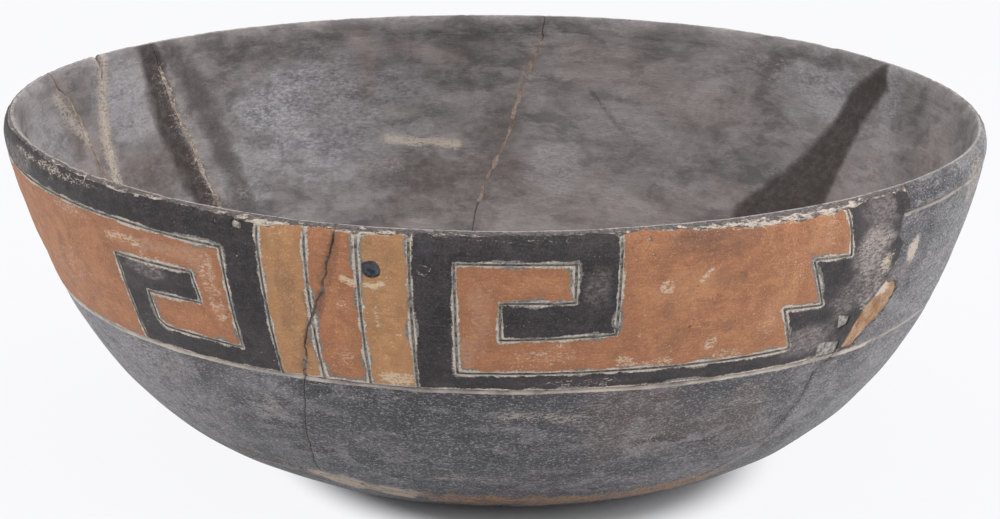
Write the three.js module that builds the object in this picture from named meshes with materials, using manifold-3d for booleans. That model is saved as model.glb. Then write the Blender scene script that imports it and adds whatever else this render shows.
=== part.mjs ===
// A hand-built earthenware bowl with an incised and painted step-fret band, broken long ago and mended.
// Millimetres, +Z up, resting on its flat foot at z = 0. The front, with the striped divider, faces -Y.
// Places on the wall are given as [turn, down]: degrees round from the front towards +X, and distance
// along the outside of the wall from the crown of the lip. Breaks use shares of that distance instead.
import * as THREE from "three";
import { mergeVertices } from "three/addons/utils/BufferGeometryUtils.js";
import Module from "manifold-3d";

const wasm = await Module();
wasm.setup();

// The pot
const RIM_DIAMETER = 250;
const HEIGHT = 88.8;
const FOOT_DIAMETER = 89;
const LIP_THICKNESS = 4.2;
const LIP_ROUND = 5; // height over which the lip is rounded
const LIP_UPRIGHT = 2.6; // how long the wall stays upright under the lip
const FOOT_SPREAD = 66.7; // how far the wall's curve runs out level from the foot
const WALL_THICKNESS = 5.2;
const FLOOR_THICKNESS = 6.5;

// What the potter's hands left: an oval mouth, a rim that is not quite level and a foot off centre
const OVAL_GROWTH = 1.9;
const OVAL_TURN = 111;
const RIM_TWO_WAVE = 0.42;
const RIM_TWO_WAVE_TURN = 101;
const RIM_THREE_WAVE = 0.32;
const RIM_THREE_WAVE_TURN = 41;
const FOOT_OFFSET = 1.7;

// The painted band
const BARE_LIP = 2.6;
const BAND_DEPTH = 44;
const LINE_WIDTH = 1.2;
const BORDER_DEPTH = 1.1; // the lower border is cut a little deeper than the rest
const PAINT_THICKNESS = 0.6;
const PAINT_PROUD = 0.1;
const CLEARANCE = 0.3;
const TOP_STRIP = 8.4; // from the crown to the fret's upper line
const FRET_BAR = 10.1;
const FOOT_STRIP = 5.5; // dark strip under the right fret
const UPPER_LINE = 7.2; // the upper line where the band is left unpainted
const STRIPE_TURNS = [-26.1, -20.6, -14.8, -9.1];
const LEFT_END = -91; // where the design starts, round the left side
const PLAIN_START = 52.5; // where the plain stretch's upper line starts, past the right break
const REAR_END = 46.5; // where the repeat of the dark field stops, against a line of its own
const REPEAT_TURN = 180; // the design is laid out twice
const FULL_TURN = 360;

// The mends
const BREAK_GAP = 0.3;
const FILL_WIDTH = 2.2;
const FILL_THICKNESS = 0.9;
const LOSS_THICKNESS = 1.1;
const LACING_HOLE_DIAMETER = 4.4;
const LACING_HOLE_PLACE = [-13.3, 11];
const PLUG_SUNK = 0.5; // how far the pitch plug stays under both faces
const NOTCH_SIZE = [1.9, 5, 2.4]; // half sizes of the chip out of the rim
const NOTCH_TURN = 243.4;

// Fineness
const AROUND = 56;
const LIP_STEPS = 3;
const WALL_STEPS = 12;
const INNER_STEP = 2; // the inside takes every second point of the outside
const DRILL_SIDES = 20;
const NOTCH_FACETS = [12, 8]; // round the chip, and from one end of it to the other
const CRUMB = 12; // mm3, below which a piece cut off by a break is lost

// How far the cutting solids reach
const REACH_OUT = 34; // past the outside, for outlines whose flat ends run far round the bowl
const REACH_IN = 3;
const BREAK_REACH = 4; // past both faces of the wall, for the breaks
const DRILL_REACH = 3; // past both faces, for the lacing hole
const SKIN_REACH = 1; // past the outside, for the skins that shape beds and lines
const CHANNEL_REACH = 2; // past the inside, for the fillers' channels

const radians = THREE.MathUtils.degToRad;
const rimRadius = RIM_DIAMETER / 2;
const footRadius = FOOT_DIAMETER / 2;

// The outside profile, from the crown of the lip to the edge of the foot, with its normals.
function outsideProfile() {
  const lip = new THREE.EllipseCurve(
    rimRadius - LIP_THICKNESS / 2,
    HEIGHT - LIP_ROUND,
    LIP_THICKNESS / 2,
    LIP_ROUND,
    Math.PI / 2,
    0,
    true,
  );
  const wall = new THREE.CubicBezierCurve(
    new THREE.Vector2(rimRadius, HEIGHT - LIP_ROUND),
    new THREE.Vector2(rimRadius, HEIGHT - LIP_ROUND - LIP_UPRIGHT),
    new THREE.Vector2(footRadius + FOOT_SPREAD, 0),
    new THREE.Vector2(footRadius, 0),
  );
  const points = [...lip.getPoints(LIP_STEPS), ...wall.getSpacedPoints(WALL_STEPS).slice(1)];
  let down = 0;
  return points.map((point, i) => {
    if (i > 0) down += point.distanceTo(points[i - 1]);
    const before = points[Math.max(i - 1, 0)];
    const after = points[Math.min(i + 1, points.length - 1)];
    const along = after.clone().sub(before).normalize();
    const normal = new THREE.Vector2(-along.y, along.x);
    if (i === 0) normal.set(0, 1);
    if (i === points.length - 1) normal.set(0, -1);
    return { point, normal, down };
  });
}

const profile = outsideProfile();
const lipLength = profile[LIP_STEPS].down;
const wallLength = profile[profile.length - 1].down;

// The profile's point and normal at a distance down the outside.
function profileAt(down) {
  const held = THREE.MathUtils.clamp(down, 0, wallLength);
  const next = Math.max(1, profile.findIndex((p) => p.down >= held));
  const [a, b] = [profile[next - 1], profile[next]];
  const share = (held - a.down) / (b.down - a.down);
  return {
    point: a.point.clone().lerp(b.point, share),
    normal: a.normal.clone().lerp(b.normal, share).normalize(),
  };
}

// The wall thickens from the lip to the middle of the wall, and again to the floor.
function thicknessAt(down) {
  const share = THREE.MathUtils.clamp((down - lipLength) / (wallLength - lipLength), 0, 1);
  const upper = THREE.MathUtils.lerp(LIP_THICKNESS, WALL_THICKNESS, Math.min(1, share * 3));
  return THREE.MathUtils.lerp(upper, FLOOR_THICKNESS, Math.max(0, share * 1.5 - 0.5));
}

// A closed mesh as a solid, whichever way its faces were wound.
function solidOf(geometry) {
  const bare = geometry.clone();
  for (const name of ["normal", "uv"]) bare.deleteAttribute(name);
  const merged = mergeVertices(bare, 1e-4);
  const corners = [];
  for (let i = 0; i < merged.index.count; i += 3) {
    const [a, b, c] = [0, 1, 2].map((k) => merged.index.getX(i + k));
    if (a !== b && b !== c && c !== a) corners.push(a, b, c);
  }
  const build = (triVerts) =>
    new wasm.Manifold(
      new wasm.Mesh({
        numProp: 3,
        vertProperties: merged.attributes.position.array,
        triVerts: new Uint32Array(triVerts),
      }),
    );
  const solid = build(corners);
  return solid.volume() < 0 ? build(corners.reverse()) : solid;
}

// A profile of [radius, height] points revolved about the upright axis.
function revolve(points) {
  const lathe = new THREE.LatheGeometry(points, AROUND);
  return solidOf(lathe.rotateX(Math.PI / 2));
}

// A point in space from a turn, a distance down the wall and a depth into it.
function inWall(turn, down, depth) {
  const { point, normal } = profileAt(down);
  const radius = point.x - normal.x * depth;
  const angle = radians(turn);
  return new THREE.Vector3(
    radius * Math.sin(angle),
    -radius * Math.cos(angle),
    point.y - normal.y * depth,
  );
}

// The same for a cut across the whole wall, which stays level where it crosses the rounded lip.
function acrossWall(turn, down, depth) {
  if (down >= lipLength) return inWall(turn, down, depth);
  const level = inWall(turn, lipLength, depth);
  const { point } = profileAt(down);
  return new THREE.Vector3(level.x, level.y, point.y);
}

function bowlBlank() {
  const outer = profile.map((p) => p.point);
  const lip = outer.slice(1, LIP_STEPS + 1);
  const innerLip = lip.map((p) => new THREE.Vector2(RIM_DIAMETER - LIP_THICKNESS - p.x, p.y));
  const inner = profile
    .slice(LIP_STEPS)
    .filter((p, i, all) => i > 0 && (i % INNER_STEP === 0 || i === all.length - 1))
    .map((p) => p.point.clone().addScaledVector(p.normal, -thicknessAt(p.down)));
  return revolve([
    new THREE.Vector2(0, 0),
    ...outer.slice().reverse(),
    ...innerLip,
    ...inner,
    new THREE.Vector2(0, FLOOR_THICKNESS),
  ]);
}

// A ring that follows the outside between two distances down and two depths.
function skin(fromDown, toDown, fromDepth, toDepth) {
  const downs = profile.map((p) => p.down).filter((d) => d > fromDown && d < toDown);
  const stops = [fromDown, ...downs, toDown];
  const side = (depth) =>
    stops.map((down) => {
      const { point, normal } = profileAt(down);
      return point.addScaledVector(normal, -depth);
    });
  const loop = [...side(fromDepth), ...side(toDepth).reverse()];
  return revolve([...loop, loop[0].clone()]);
}

// Flat drawing of the band, in millimetres: one degree of turn is taken at the band's middle radius.
const bandRadius = profileAt(BAND_DEPTH / 2).point.x;
const perDegree = radians(1) * bandRadius;
const flat = ([turn, down]) => new THREE.Vector2(turn * perDegree, down);
const unflat = (v) => [v.x / perDegree, v.y];

// The corner where two edges meet after each has moved sideways by the distance.
function movedCorner(before, corner, after, distance) {
  const a = corner.clone().sub(before).normalize();
  const b = after.clone().sub(corner).normalize();
  const side = new THREE.Vector2(-a.y - b.y, a.x + b.x).normalize();
  const lean = Math.max(0.3, side.dot(new THREE.Vector2(-a.y, a.x)));
  return corner.clone().addScaledVector(side, distance / lean);
}

// An outline drawn in on every side.
function inset(outline, distance) {
  const points = outline.map(flat);
  const inwards = THREE.ShapeUtils.area(points) > 0 ? distance : -distance;
  return points
    .map((p, i) =>
      movedCorner(points.at(i - 1), p, points[(i + 1) % points.length], inwards),
    )
    .map(unflat);
}

// The outline of a line of the given width.
function widened(line, width) {
  const points = line.map(flat);
  const start = points[0].clone().sub(points[1]).setLength(width / 2).add(points[0]);
  const last = points.at(-1);
  const end = last.clone().sub(points.at(-2)).setLength(width / 2).add(last);
  const all = [start, ...points.slice(1, -1), end];
  const side = (distance) =>
    all.map((p, i) => {
      const before = all[i - 1] ?? p.clone().multiplyScalar(2).sub(all[i + 1]);
      const after = all[i + 1] ?? p.clone().multiplyScalar(2).sub(all[i - 1]);
      return movedCorner(before, p, after, distance);
    });
  return [...side(width / 2), ...side(-width / 2).reverse()].map(unflat);
}

// An outline with a point wherever it crosses a facet edge, so that it bends with the wall.
function bent(outline) {
  const step = FULL_TURN / AROUND;
  return outline.flatMap((a, i) => {
    const b = outline[(i + 1) % outline.length];
    const span = b[0] - a[0];
    const low = Math.min(a[0], b[0]);
    const high = Math.max(a[0], b[0]);
    const stops = [];
    for (let k = Math.floor(low / step) + 1; k * step < high - 1e-6; k += 1) {
      if (k * step > low + 1e-6) stops.push((k * step - a[0]) / span);
    }
    stops.sort((p, q) => p - q);
    return [a, ...stops.map((t) => [a[0] + span * t, a[1] + (b[1] - a[1]) * t])];
  });
}

// A block square to the wall with the given outline, reaching well outside it.
function block(outline) {
  const edge = bent(outline);
  const points = edge.map(flat);
  const count = edge.length;
  const vertices = [
    ...edge.map(([turn, down]) => inWall(turn, down, -REACH_OUT)),
    ...edge.map(([turn, down]) => inWall(turn, down, REACH_IN)),
  ];
  const faces = THREE.ShapeUtils.triangulateShape(points, []);
  const turned = THREE.ShapeUtils.area(points) > 0 ? 1 : -1;
  const index = [];
  const push = (a, b, c) => (turned > 0 ? index.push(a, b, c) : index.push(a, c, b));
  for (const [a, b, c] of faces) {
    index.push(a, b, c);
    index.push(count + a, count + c, count + b);
  }
  for (let i = 0; i < count; i += 1) {
    const j = (i + 1) % count;
    push(i, count + i, j);
    push(j, count + i, count + j);
  }
  const geometry = new THREE.BufferGeometry().setFromPoints(vertices);
  return solidOf(geometry.setIndex(index));
}

// A band that follows a path [turn, down] with the given width, between two depths at each point.
function ribbon(path, width, depthAt, place = inWall, closed = false) {
  const middle = path.map(([turn, down]) => place(turn, down, 0));
  const vertices = path.flatMap(([turn, down], i) => {
    const [shallow, deep] = depthAt(down);
    const before = middle.at(closed || i > 0 ? i - 1 : 0);
    const after = middle[closed ? (i + 1) % path.length : Math.min(i + 1, path.length - 1)];
    const outer = place(turn, down, shallow);
    const inner = place(turn, down, deep);
    const across = new THREE.Vector3()
      .crossVectors(outer.clone().sub(inner), after.clone().sub(before))
      .setLength(width / 2);
    return [
      outer.clone().add(across),
      outer.clone().sub(across),
      inner.clone().sub(across),
      inner.clone().add(across),
    ];
  });
  const index = [];
  const sides = closed ? path.length : path.length - 1;
  for (let i = 0; i < sides; i += 1) {
    const j = (i + 1) % path.length;
    for (let k = 0; k < 4; k += 1) {
      const [a, b] = [4 * i + k, 4 * i + ((k + 1) % 4)];
      const [c, d] = [4 * j + k, 4 * j + ((k + 1) % 4)];
      if (k === 3) index.push(a, b, d, a, d, c); // the two broad sides are split alike
      else index.push(a, b, c, b, d, c);
    }
  }
  if (!closed) {
    const end = 4 * (path.length - 1);
    index.push(0, 2, 1, 0, 3, 2, end, end + 1, end + 2, end, end + 2, end + 3);
  }
  const geometry = new THREE.BufferGeometry().setFromPoints(vertices);
  return solidOf(geometry.setIndex(index));
}

const join = (solids) => solids.reduce((all, one) => all.add(one));

// The breaks, as [turn, share of the wall from lip to foot]. They end on each other at shared points.
const FRONT_FOOT = [-28.9, 0.64];
const RIGHT_FOOT = [34.8, 0.689];
const REAR_FOOT = [186, 0.73];
const REAR_LEFT_FOOT = [229, 0.72];
const LEFT_FOOT = [248, 0.735];
const LEFT_FORK = [248.5, 0.37];
const BREAKS = {
  front: [
    [-17, -0.04], [-17.4, 0.033], [-18.1, 0.083], [-19, 0.133], [-21.8, 0.233], [-22.4, 0.281],
    [-24.7, 0.41], [-26, 0.475], FRONT_FOOT,
  ],
  right: [
    [53.3, -0.04], [53, 0.039], [51.7, 0.064], [52, 0.091], [53.5, 0.135], [53, 0.168],
    [49.6, 0.235], [47.4, 0.323], [43.8, 0.364], [44, 0.42], [42.6, 0.54], [37.8, 0.642], RIGHT_FOOT,
  ],
  rear: [
    [173.5, -0.04], [174.2, 0.067], [176.8, 0.167], [178.5, 0.267], [179.9, 0.323],
    [182.3, 0.392], [184.1, 0.466], [185, 0.55], REAR_FOOT,
  ],
  rearLeft: [
    [233.5, -0.04], [231.7, 0.084], [229.1, 0.242], [228.9, 0.31], [227.5, 0.43], [228.5, 0.52],
    REAR_LEFT_FOOT,
  ],
  left: [
    [242.9, -0.04], [243.7, 0.064], [246.7, 0.214], [247.6, 0.29], LEFT_FORK, [249, 0.46],
    [250, 0.56], LEFT_FOOT,
  ],
  leftRim: [
    [256.4, -0.04], [255.8, 0.028], [252.6, 0.08], [251, 0.126], [250, 0.25], LEFT_FORK,
  ],
};
const FOOT_BREAK = [
  FRONT_FOOT, [-16.2, 0.69], [0.7, 0.739], [17.7, 0.691], RIGHT_FOOT, [52, 0.71], [68, 0.7],
  [86, 0.73], [103, 0.715], [120, 0.74], [138, 0.72], [155, 0.735], [172, 0.715], REAR_FOOT,
  [207, 0.735], REAR_LEFT_FOOT, [238, 0.71], LEFT_FOOT, [264, 0.71], [282, 0.69], [300, 0.67],
  [316, 0.66],
];
const downWall = (path) => path.map(([turn, share]) => [turn, share * wallLength]);

// Everything that the breaks remove: a thin curved cut right through the wall along each.
function breakCuts() {
  const through = (down) => [-BREAK_REACH, thicknessAt(down) + BREAK_REACH];
  const upper = Object.values(BREAKS).map((path) => {
    const placed = downWall(path);
    return ribbon(placed, BREAK_GAP, through, breakPlace);
  });
  return join([...upper, ribbon(downWall(FOOT_BREAK), BREAK_GAP, through, inWall, true)]);
}

// A break's first point stands above the lip, at a share below zero.
function breakPlace(turn, down, depth) {
  const place = acrossWall(turn, Math.max(down, 0), depth);
  if (down < 0) place.z -= down;
  return place;
}

// Where the right-hand break crosses a distance down, for the painted field that ends on it.
function rightBreakWithin(fromDown, toDown) {
  const path = downWall(BREAKS.right);
  const turnAt = (down) => {
    const next = path.findIndex((p) => p[1] >= down);
    const [a, b] = [path[next - 1], path[next]];
    return a[0] + ((b[0] - a[0]) * (down - a[1])) / (b[1] - a[1]);
  };
  const clear = 1; // millimetres between the ends and the break's own points
  const inside = path.filter((p) => p[1] > fromDown + clear && p[1] < toDown - clear);
  return [[turnAt(fromDown), fromDown], ...inside, [turnAt(toDown), toDown]];
}

// The design: outlines of the painted fields and the lines between them, in [turn, down].
const rowTop = BARE_LIP;
const rowUpper = TOP_STRIP;
const rowHook = TOP_STRIP + FRET_BAR;
const rowBar = rowHook + FRET_BAR;
const rowLower = BAND_DEPTH - FOOT_STRIP;
const rowFoot = BAND_DEPTH;
const stepHeight = (rowLower - rowTop) / 3;
const lower = (rows) => rowTop + stepHeight * rows;

// The line between the right fret's light hook and its dark ground, from the lip round to the steps.
const RIGHT_FRET_LINE = [
  [13.7, rowTop], [13.7, rowBar - 0.8], [0.6, rowBar], [0.6, rowHook], [8.8, rowHook],
  [8.8, rowUpper], [-4.3, rowUpper], [-4.3, rowLower], [37.4, rowLower], [34.8, lower(2) - 0.6],
  [40.8, lower(2) + 0.6], [37.7, lower(1) - 1], [43.6, lower(1)], [41.9, rowTop],
];
const LEFT_STEPS = [[-85, rowFoot], [-85, lower(2)], [-81, lower(2)], [-81, lower(1)], [-77, lower(1)]];
const LEFT_FRET_LINE = [
  ...LEFT_STEPS, [-77, rowUpper + 0.3], [-46, rowUpper + 0.6], [-30.9, rowUpper + 1.6],
  [-30.9, rowLower - 0.6], [-42.4, rowLower - 1.4], [-43.5, rowLower - 3], [-43.5, rowBar - 1.2],
  [-35.2, rowBar - 1.6], [-35.6, rowHook], [-47.6, rowHook + 0.4], [-47.6, rowFoot],
];

function design(turnBy, rightEnd) {
  const [first, second, third, fourth] = STRIPE_TURNS;
  const stripe = (from, to) => [
    [from, rowTop], [to, rowTop], [to, rowFoot], [from, rowFoot],
  ];
  const fields = {
    left_dark: [
      [first, rowTop], [first, rowFoot], ...LEFT_FRET_LINE.slice().reverse(),
      [LEFT_END, rowFoot], [LEFT_END, rowTop],
    ],
    left_light: LEFT_FRET_LINE,
    stripe_1: stripe(first, second),
    stripe_2: stripe(second, third),
    stripe_3: stripe(third, fourth),
    right_light: RIGHT_FRET_LINE,
    right_dark: [
      ...RIGHT_FRET_LINE, ...rightEnd, [fourth, rowFoot], [fourth, rowTop],
    ],
  };
  const turned = (points) => points.map(([turn, down]) => [turn + turnBy, down]);
  return Object.fromEntries(Object.entries(fields).map(([name, line]) => [name, turned(line)]));
}

const frontDesign = design(0, rightBreakWithin(rowTop, rowFoot));
const rearDesign = design(REPEAT_TURN, [[REAR_END, rowTop], [REAR_END, rowFoot]]);
const UPPER_LINES = [
  [[PLAIN_START, UPPER_LINE], [LEFT_END + REPEAT_TURN, UPPER_LINE]],
  [[REAR_END + REPEAT_TURN, UPPER_LINE], [LEFT_END + FULL_TURN, UPPER_LINE]],
];

const halfLine = LINE_WIDTH / 2;
const paintDepth = PAINT_THICKNESS - PAINT_PROUD;
const lineDepth = paintDepth + CLEARANCE;
const paintSkin = skin(BARE_LIP, BAND_DEPTH, -PAINT_PROUD, paintDepth);
const lineSkin = skin(BARE_LIP, BAND_DEPTH, -SKIN_REACH, lineDepth);

// Each field's bed and half of the incised line round it. Neighbours' halves make whole lines.
function bandCuts() {
  const beds = [frontDesign, rearDesign].flatMap((fields) =>
    Object.values(fields).map((field) => block(inset(field, -halfLine))),
  );
  const upper = UPPER_LINES.map((line) => block(widened(line, LINE_WIDTH)));
  const border = skin(BAND_DEPTH - halfLine, BAND_DEPTH + halfLine, -SKIN_REACH, BORDER_DEPTH);
  return lineSkin.intersect(join([...beds, ...upper])).add(border);
}

// The lacing hole, drilled square through the wall.
function lacingCylinder(radius, fromDepth, toDepth) {
  const [turn, down] = LACING_HOLE_PLACE;
  const start = inWall(turn, down, fromDepth);
  const end = inWall(turn, down, toDepth);
  const drill = new THREE.CylinderGeometry(radius, radius, start.distanceTo(end), DRILL_SIDES);
  const axis = end.clone().sub(start).normalize();
  drill.applyQuaternion(
    new THREE.Quaternion().setFromUnitVectors(new THREE.Vector3(0, 1, 0), axis),
  );
  const centre = start.clone().add(end).multiplyScalar(0.5);
  return solidOf(drill.translate(centre.x, centre.y, centre.z));
}

const lacingDepth = thicknessAt(LACING_HOLE_PLACE[1]);
const lacingHole = lacingCylinder(
  LACING_HOLE_DIAMETER / 2,
  -DRILL_REACH,
  lacingDepth + DRILL_REACH,
);

// Filler pressed along a break on the inside, and the channel it lies in.
const FILLED_BREAKS = {
  rear_filler: { path: BREAKS.rear, to: 0.44 },
  rear_left_filler: { path: BREAKS.rearLeft, to: 0.62 },
  left_filler: { path: BREAKS.left, to: 0.34 },
  left_rim_filler: { path: BREAKS.leftRim, to: 0.27 },
};
const FILL_FROM = 0.06; // share of the wall's length, as in the breaks
const END_ROOM = 0.02; // a break's own points stay this share clear of a filler's ends

function fillPath({ path, to }) {
  const placeAt = (share) => {
    const next = path.findIndex((p) => p[1] >= share);
    const [a, b] = [path[next - 1], path[next]];
    return [a[0] + ((b[0] - a[0]) * (share - a[1])) / (b[1] - a[1]), share];
  };
  const inside = path.filter((p) => p[1] > FILL_FROM + END_ROOM && p[1] < to - END_ROOM);
  return downWall([placeAt(FILL_FROM), ...inside, placeAt(to)]);
}

const fillStrip = (filled) =>
  ribbon(fillPath(filled), FILL_WIDTH, (down) => {
    const inner = thicknessAt(down);
    return [inner - FILL_THICKNESS, inner];
  });

const fillChannel = (filled) => {
  const path = fillPath(filled);
  const end = path.length - 1;
  const longer = path.map(([turn, down], i) => {
    if (i === 0) return [turn, down - CLEARANCE];
    return i === end ? [turn, down + CLEARANCE] : [turn, down];
  });
  return ribbon(longer, FILL_WIDTH + 2 * CLEARANCE, (down) => {
    const inner = thicknessAt(down);
    return [inner - FILL_THICKNESS - CLEARANCE, inner + CHANNEL_REACH];
  });
};

// A loss beside the right-hand break, made good with a lighter filler.
const LOSS_OUTLINE = [
  [51.9, 26], [54, 25.8], [53.4, 31], [51.6, 37], [49.9, 42.4], [48.4, 42.6], [49.3, 37], [50.4, 32],
];
const lossFloor = LOSS_THICKNESS + CLEARANCE;
const lossSkin = skin(BARE_LIP, BAND_DEPTH + LINE_WIDTH, -SKIN_REACH, lossFloor);
const lossFillSkin = skin(BARE_LIP, BAND_DEPTH + LINE_WIDTH, 0, LOSS_THICKNESS);

function rimNotch() {
  const [across, through, deep] = NOTCH_SIZE;
  const chip = new THREE.SphereGeometry(1, ...NOTCH_FACETS).scale(across, through, deep);
  chip.rotateZ(radians(NOTCH_TURN));
  const crown = inWall(NOTCH_TURN, 0, 0);
  return solidOf(chip.translate(crown.x, crown.y, HEIGHT));
}

// The shape that the hands gave the whole pot, applied to every piece alike.
function handShaped(x, y, z) {
  const up = z / HEIGHT;
  const turn = Math.atan2(x, -y);
  const wave = (size, count, at) => size * Math.cos(count * (turn - radians(at)));
  const radius = Math.hypot(x, y) + up * up * wave(OVAL_GROWTH, 2, OVAL_TURN);
  const rise =
    wave(RIM_TWO_WAVE, 2, RIM_TWO_WAVE_TURN) + wave(RIM_THREE_WAVE, 3, RIM_THREE_WAVE_TURN);
  return [
    radius * Math.sin(turn) + FOOT_OFFSET * (1 - up),
    -radius * Math.cos(turn),
    z + up * up * rise,
  ];
}

function meshOf(name, solid, material) {
  const { vertProperties, triVerts, numProp, numVert } = solid.getMesh();
  const positions = new Float32Array(numVert * 3);
  for (let i = 0; i < numVert; i += 1) {
    const at = vertProperties.subarray(i * numProp, i * numProp + 3);
    positions.set(handShaped(...at), i * 3);
  }
  const geometry = new THREE.BufferGeometry();
  geometry.setAttribute("position", new THREE.BufferAttribute(positions, 3));
  geometry.setIndex(new THREE.BufferAttribute(triVerts, 1));
  geometry.computeVertexNormals();
  const mesh = new THREE.Mesh(geometry, material);
  mesh.name = name;
  return mesh;
}

const finish = (color, roughness) =>
  new THREE.MeshStandardMaterial({ color, roughness, metalness: 0 });
const clay = finish(0x5a5759, 0.55);
const lightPaint = finish(0xb06a3e, 0.7);
const amberPaint = finish(0xb5763f, 0.7);
const darkPaint = finish(0x3a3234, 0.5);
const filler = finish(0xa2958c, 0.85);
const lossFiller = finish(0xc79a6b, 0.85);
const pitch = finish(0x2c2f36, 0.4);

// The turn of a piece's middle, counted up from the front break.
function middleTurn(solid) {
  const { min, max } = solid.boundingBox();
  const turn = THREE.MathUtils.radToDeg(Math.atan2(min[0] + max[0], -(min[1] + max[1])));
  const first = BREAKS.front[0][0];
  return THREE.MathUtils.euclideanModulo(turn - first, FULL_TURN);
}

const cuts = breakCuts();
const pieces = (solid) =>
  solid
    .subtract(cuts)
    .decompose()
    .filter((piece) => piece.volume() > CRUMB)
    .sort((a, b) => middleTurn(a) - middleTurn(b));

const pot = new THREE.Group();

function addSherds() {
  const channels = Object.values(FILLED_BREAKS).map(fillChannel);
  const loss = lossSkin.intersect(block(inset(LOSS_OUTLINE, -CLEARANCE)));
  const removed = join([bandCuts(), ...channels, loss, lacingHole, rimNotch()]);
  const all = pieces(bowlBlank().subtract(removed));
  const base = all.reduce((low, one) =>
    one.boundingBox().max[2] < low.boundingBox().max[2] ? one : low,
  );
  const names = [
    "front_sherd", "right_sherd", "rear_sherd", "rear_left_sherd", "left_rim_sherd", "left_sherd",
  ];
  pot.add(meshOf("base_sherd", base, clay));
  all
    .filter((piece) => piece !== base)
    .forEach((piece, i) => pot.add(meshOf(names[i], piece, clay)));
}

function addPaint(side, fields) {
  const colours = {
    left_dark: darkPaint,
    right_dark: darkPaint,
    stripe_1: amberPaint,
    stripe_3: amberPaint,
  };
  for (const [name, outline] of Object.entries(fields)) {
    const coat = paintSkin.intersect(block(inset(outline, halfLine)));
    const parts = pieces(coat.subtract(lacingHole));
    parts.forEach((part, i) => {
      const end = parts.length > 1 ? `_${"abc"[i]}` : "";
      pot.add(meshOf(`${side}_${name}${end}`, part, colours[name] ?? lightPaint));
    });
  }
}

function addMends() {
  for (const [name, filled] of Object.entries(FILLED_BREAKS)) {
    pot.add(meshOf(name, fillStrip(filled), filler));
  }
  const loss = lossFillSkin.intersect(block(LOSS_OUTLINE));
  pot.add(meshOf("loss_filler", loss, lossFiller));
  const plugRadius = LACING_HOLE_DIAMETER / 2 - CLEARANCE;
  const plug = lacingCylinder(plugRadius, PLUG_SUNK, lacingDepth - PLUG_SUNK);
  pot.add(meshOf("lacing_hole_plug", plug, pitch));
}

addSherds();
addPaint("front", frontDesign);
addPaint("rear", rearDesign);
addMends();

export default pot;
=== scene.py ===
import math

import bpy
import numpy as np
from mathutils import Matrix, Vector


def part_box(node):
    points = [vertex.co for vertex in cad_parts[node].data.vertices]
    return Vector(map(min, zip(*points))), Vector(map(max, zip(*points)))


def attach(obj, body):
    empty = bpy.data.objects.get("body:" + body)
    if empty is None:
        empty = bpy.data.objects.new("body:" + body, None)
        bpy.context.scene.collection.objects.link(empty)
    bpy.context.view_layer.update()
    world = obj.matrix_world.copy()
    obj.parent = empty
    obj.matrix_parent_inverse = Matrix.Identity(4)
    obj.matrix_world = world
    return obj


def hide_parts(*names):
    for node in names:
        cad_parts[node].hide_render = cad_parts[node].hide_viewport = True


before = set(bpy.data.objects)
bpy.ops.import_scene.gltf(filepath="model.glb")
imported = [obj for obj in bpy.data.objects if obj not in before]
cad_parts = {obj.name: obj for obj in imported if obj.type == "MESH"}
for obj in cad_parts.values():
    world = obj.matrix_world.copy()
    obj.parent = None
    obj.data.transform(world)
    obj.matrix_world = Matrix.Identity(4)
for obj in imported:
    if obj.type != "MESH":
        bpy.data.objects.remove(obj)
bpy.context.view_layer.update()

# A mended bowl with an incised step-fret band. Lengths are in millimetres and angles in degrees.
# "Turn" is the way round from the front, and "down" the way along the outside from the lip's crown.
# Inside the bowl "down" is counted below zero, so the lip's crown is at zero.
MM = 0.001
RIM_RADIUS = 125.0
FOOT_RADIUS = 44.5
HEIGHT = 88.8
LIP_THICKNESS = 4.2
LIP_ROUND = 5.0
LIP_UPRIGHT = 2.6
FOOT_SPREAD = 66.7
WALL_THICKNESS = 5.2
FLOOR_THICKNESS = 6.5

OVAL_GROWTH = 1.9
OVAL_TURN = 111.0
RIM_TWO_WAVE = (0.42, 101.0)
RIM_THREE_WAVE = (0.32, 41.0)
FOOT_OFFSET = 1.7

BARE_LIP = 2.6
ROW_UPPER = 8.4
ROW_HOOK = 18.5
ROW_BAR = 28.6
ROW_LOWER = 38.5
ROW_FOOT = 44.0
LEFT_END = -91.0
FRONT_END = 53.5
REAR_END = 46.5
REPEAT_TURN = 180.0
UPPER_LINE = 7.2
UPPER_LINES = ((52.5, 89.0), (226.5, 269.0))
HOLE_PLACE = (-13.3, 11.0)
HOLE_RADIUS = 2.2
STRIPE_TURNS = (-26.1, -20.6, -14.8, -9.1)


def lower(steps):
    """How far down a step of the right fret lies, counted in steps from the band's top."""
    return BARE_LIP + 11.97 * steps


RIGHT_FRET_LINE = [
    (13.7, 0.3), (13.7, ROW_BAR - 0.8), (0.6, ROW_BAR), (0.6, ROW_HOOK),
    (8.8, ROW_HOOK), (8.8, ROW_UPPER), (-4.3, ROW_UPPER), (-4.3, ROW_LOWER),
    (37.4, ROW_LOWER), (34.8, lower(2) - 0.6), (40.8, lower(2) + 0.6),
    (37.7, lower(1) - 1), (43.6, lower(1)), (41.9, 0.3),
]
LEFT_FRET_LINE = [
    (-85, ROW_FOOT), (-85, lower(2)), (-81, lower(2)), (-81, lower(1)), (-77, lower(1)),
    (-77, ROW_UPPER + 0.3), (-46, ROW_UPPER + 0.6), (-30.9, ROW_UPPER + 1.6),
    (-30.9, ROW_LOWER - 0.6), (-42.4, ROW_LOWER - 1.4), (-43.5, ROW_LOWER - 3),
    (-43.5, ROW_BAR - 1.2), (-35.2, ROW_BAR - 1.6), (-35.6, ROW_HOOK),
    (-47.6, ROW_HOOK + 0.4), (-47.6, ROW_FOOT),
]
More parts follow.
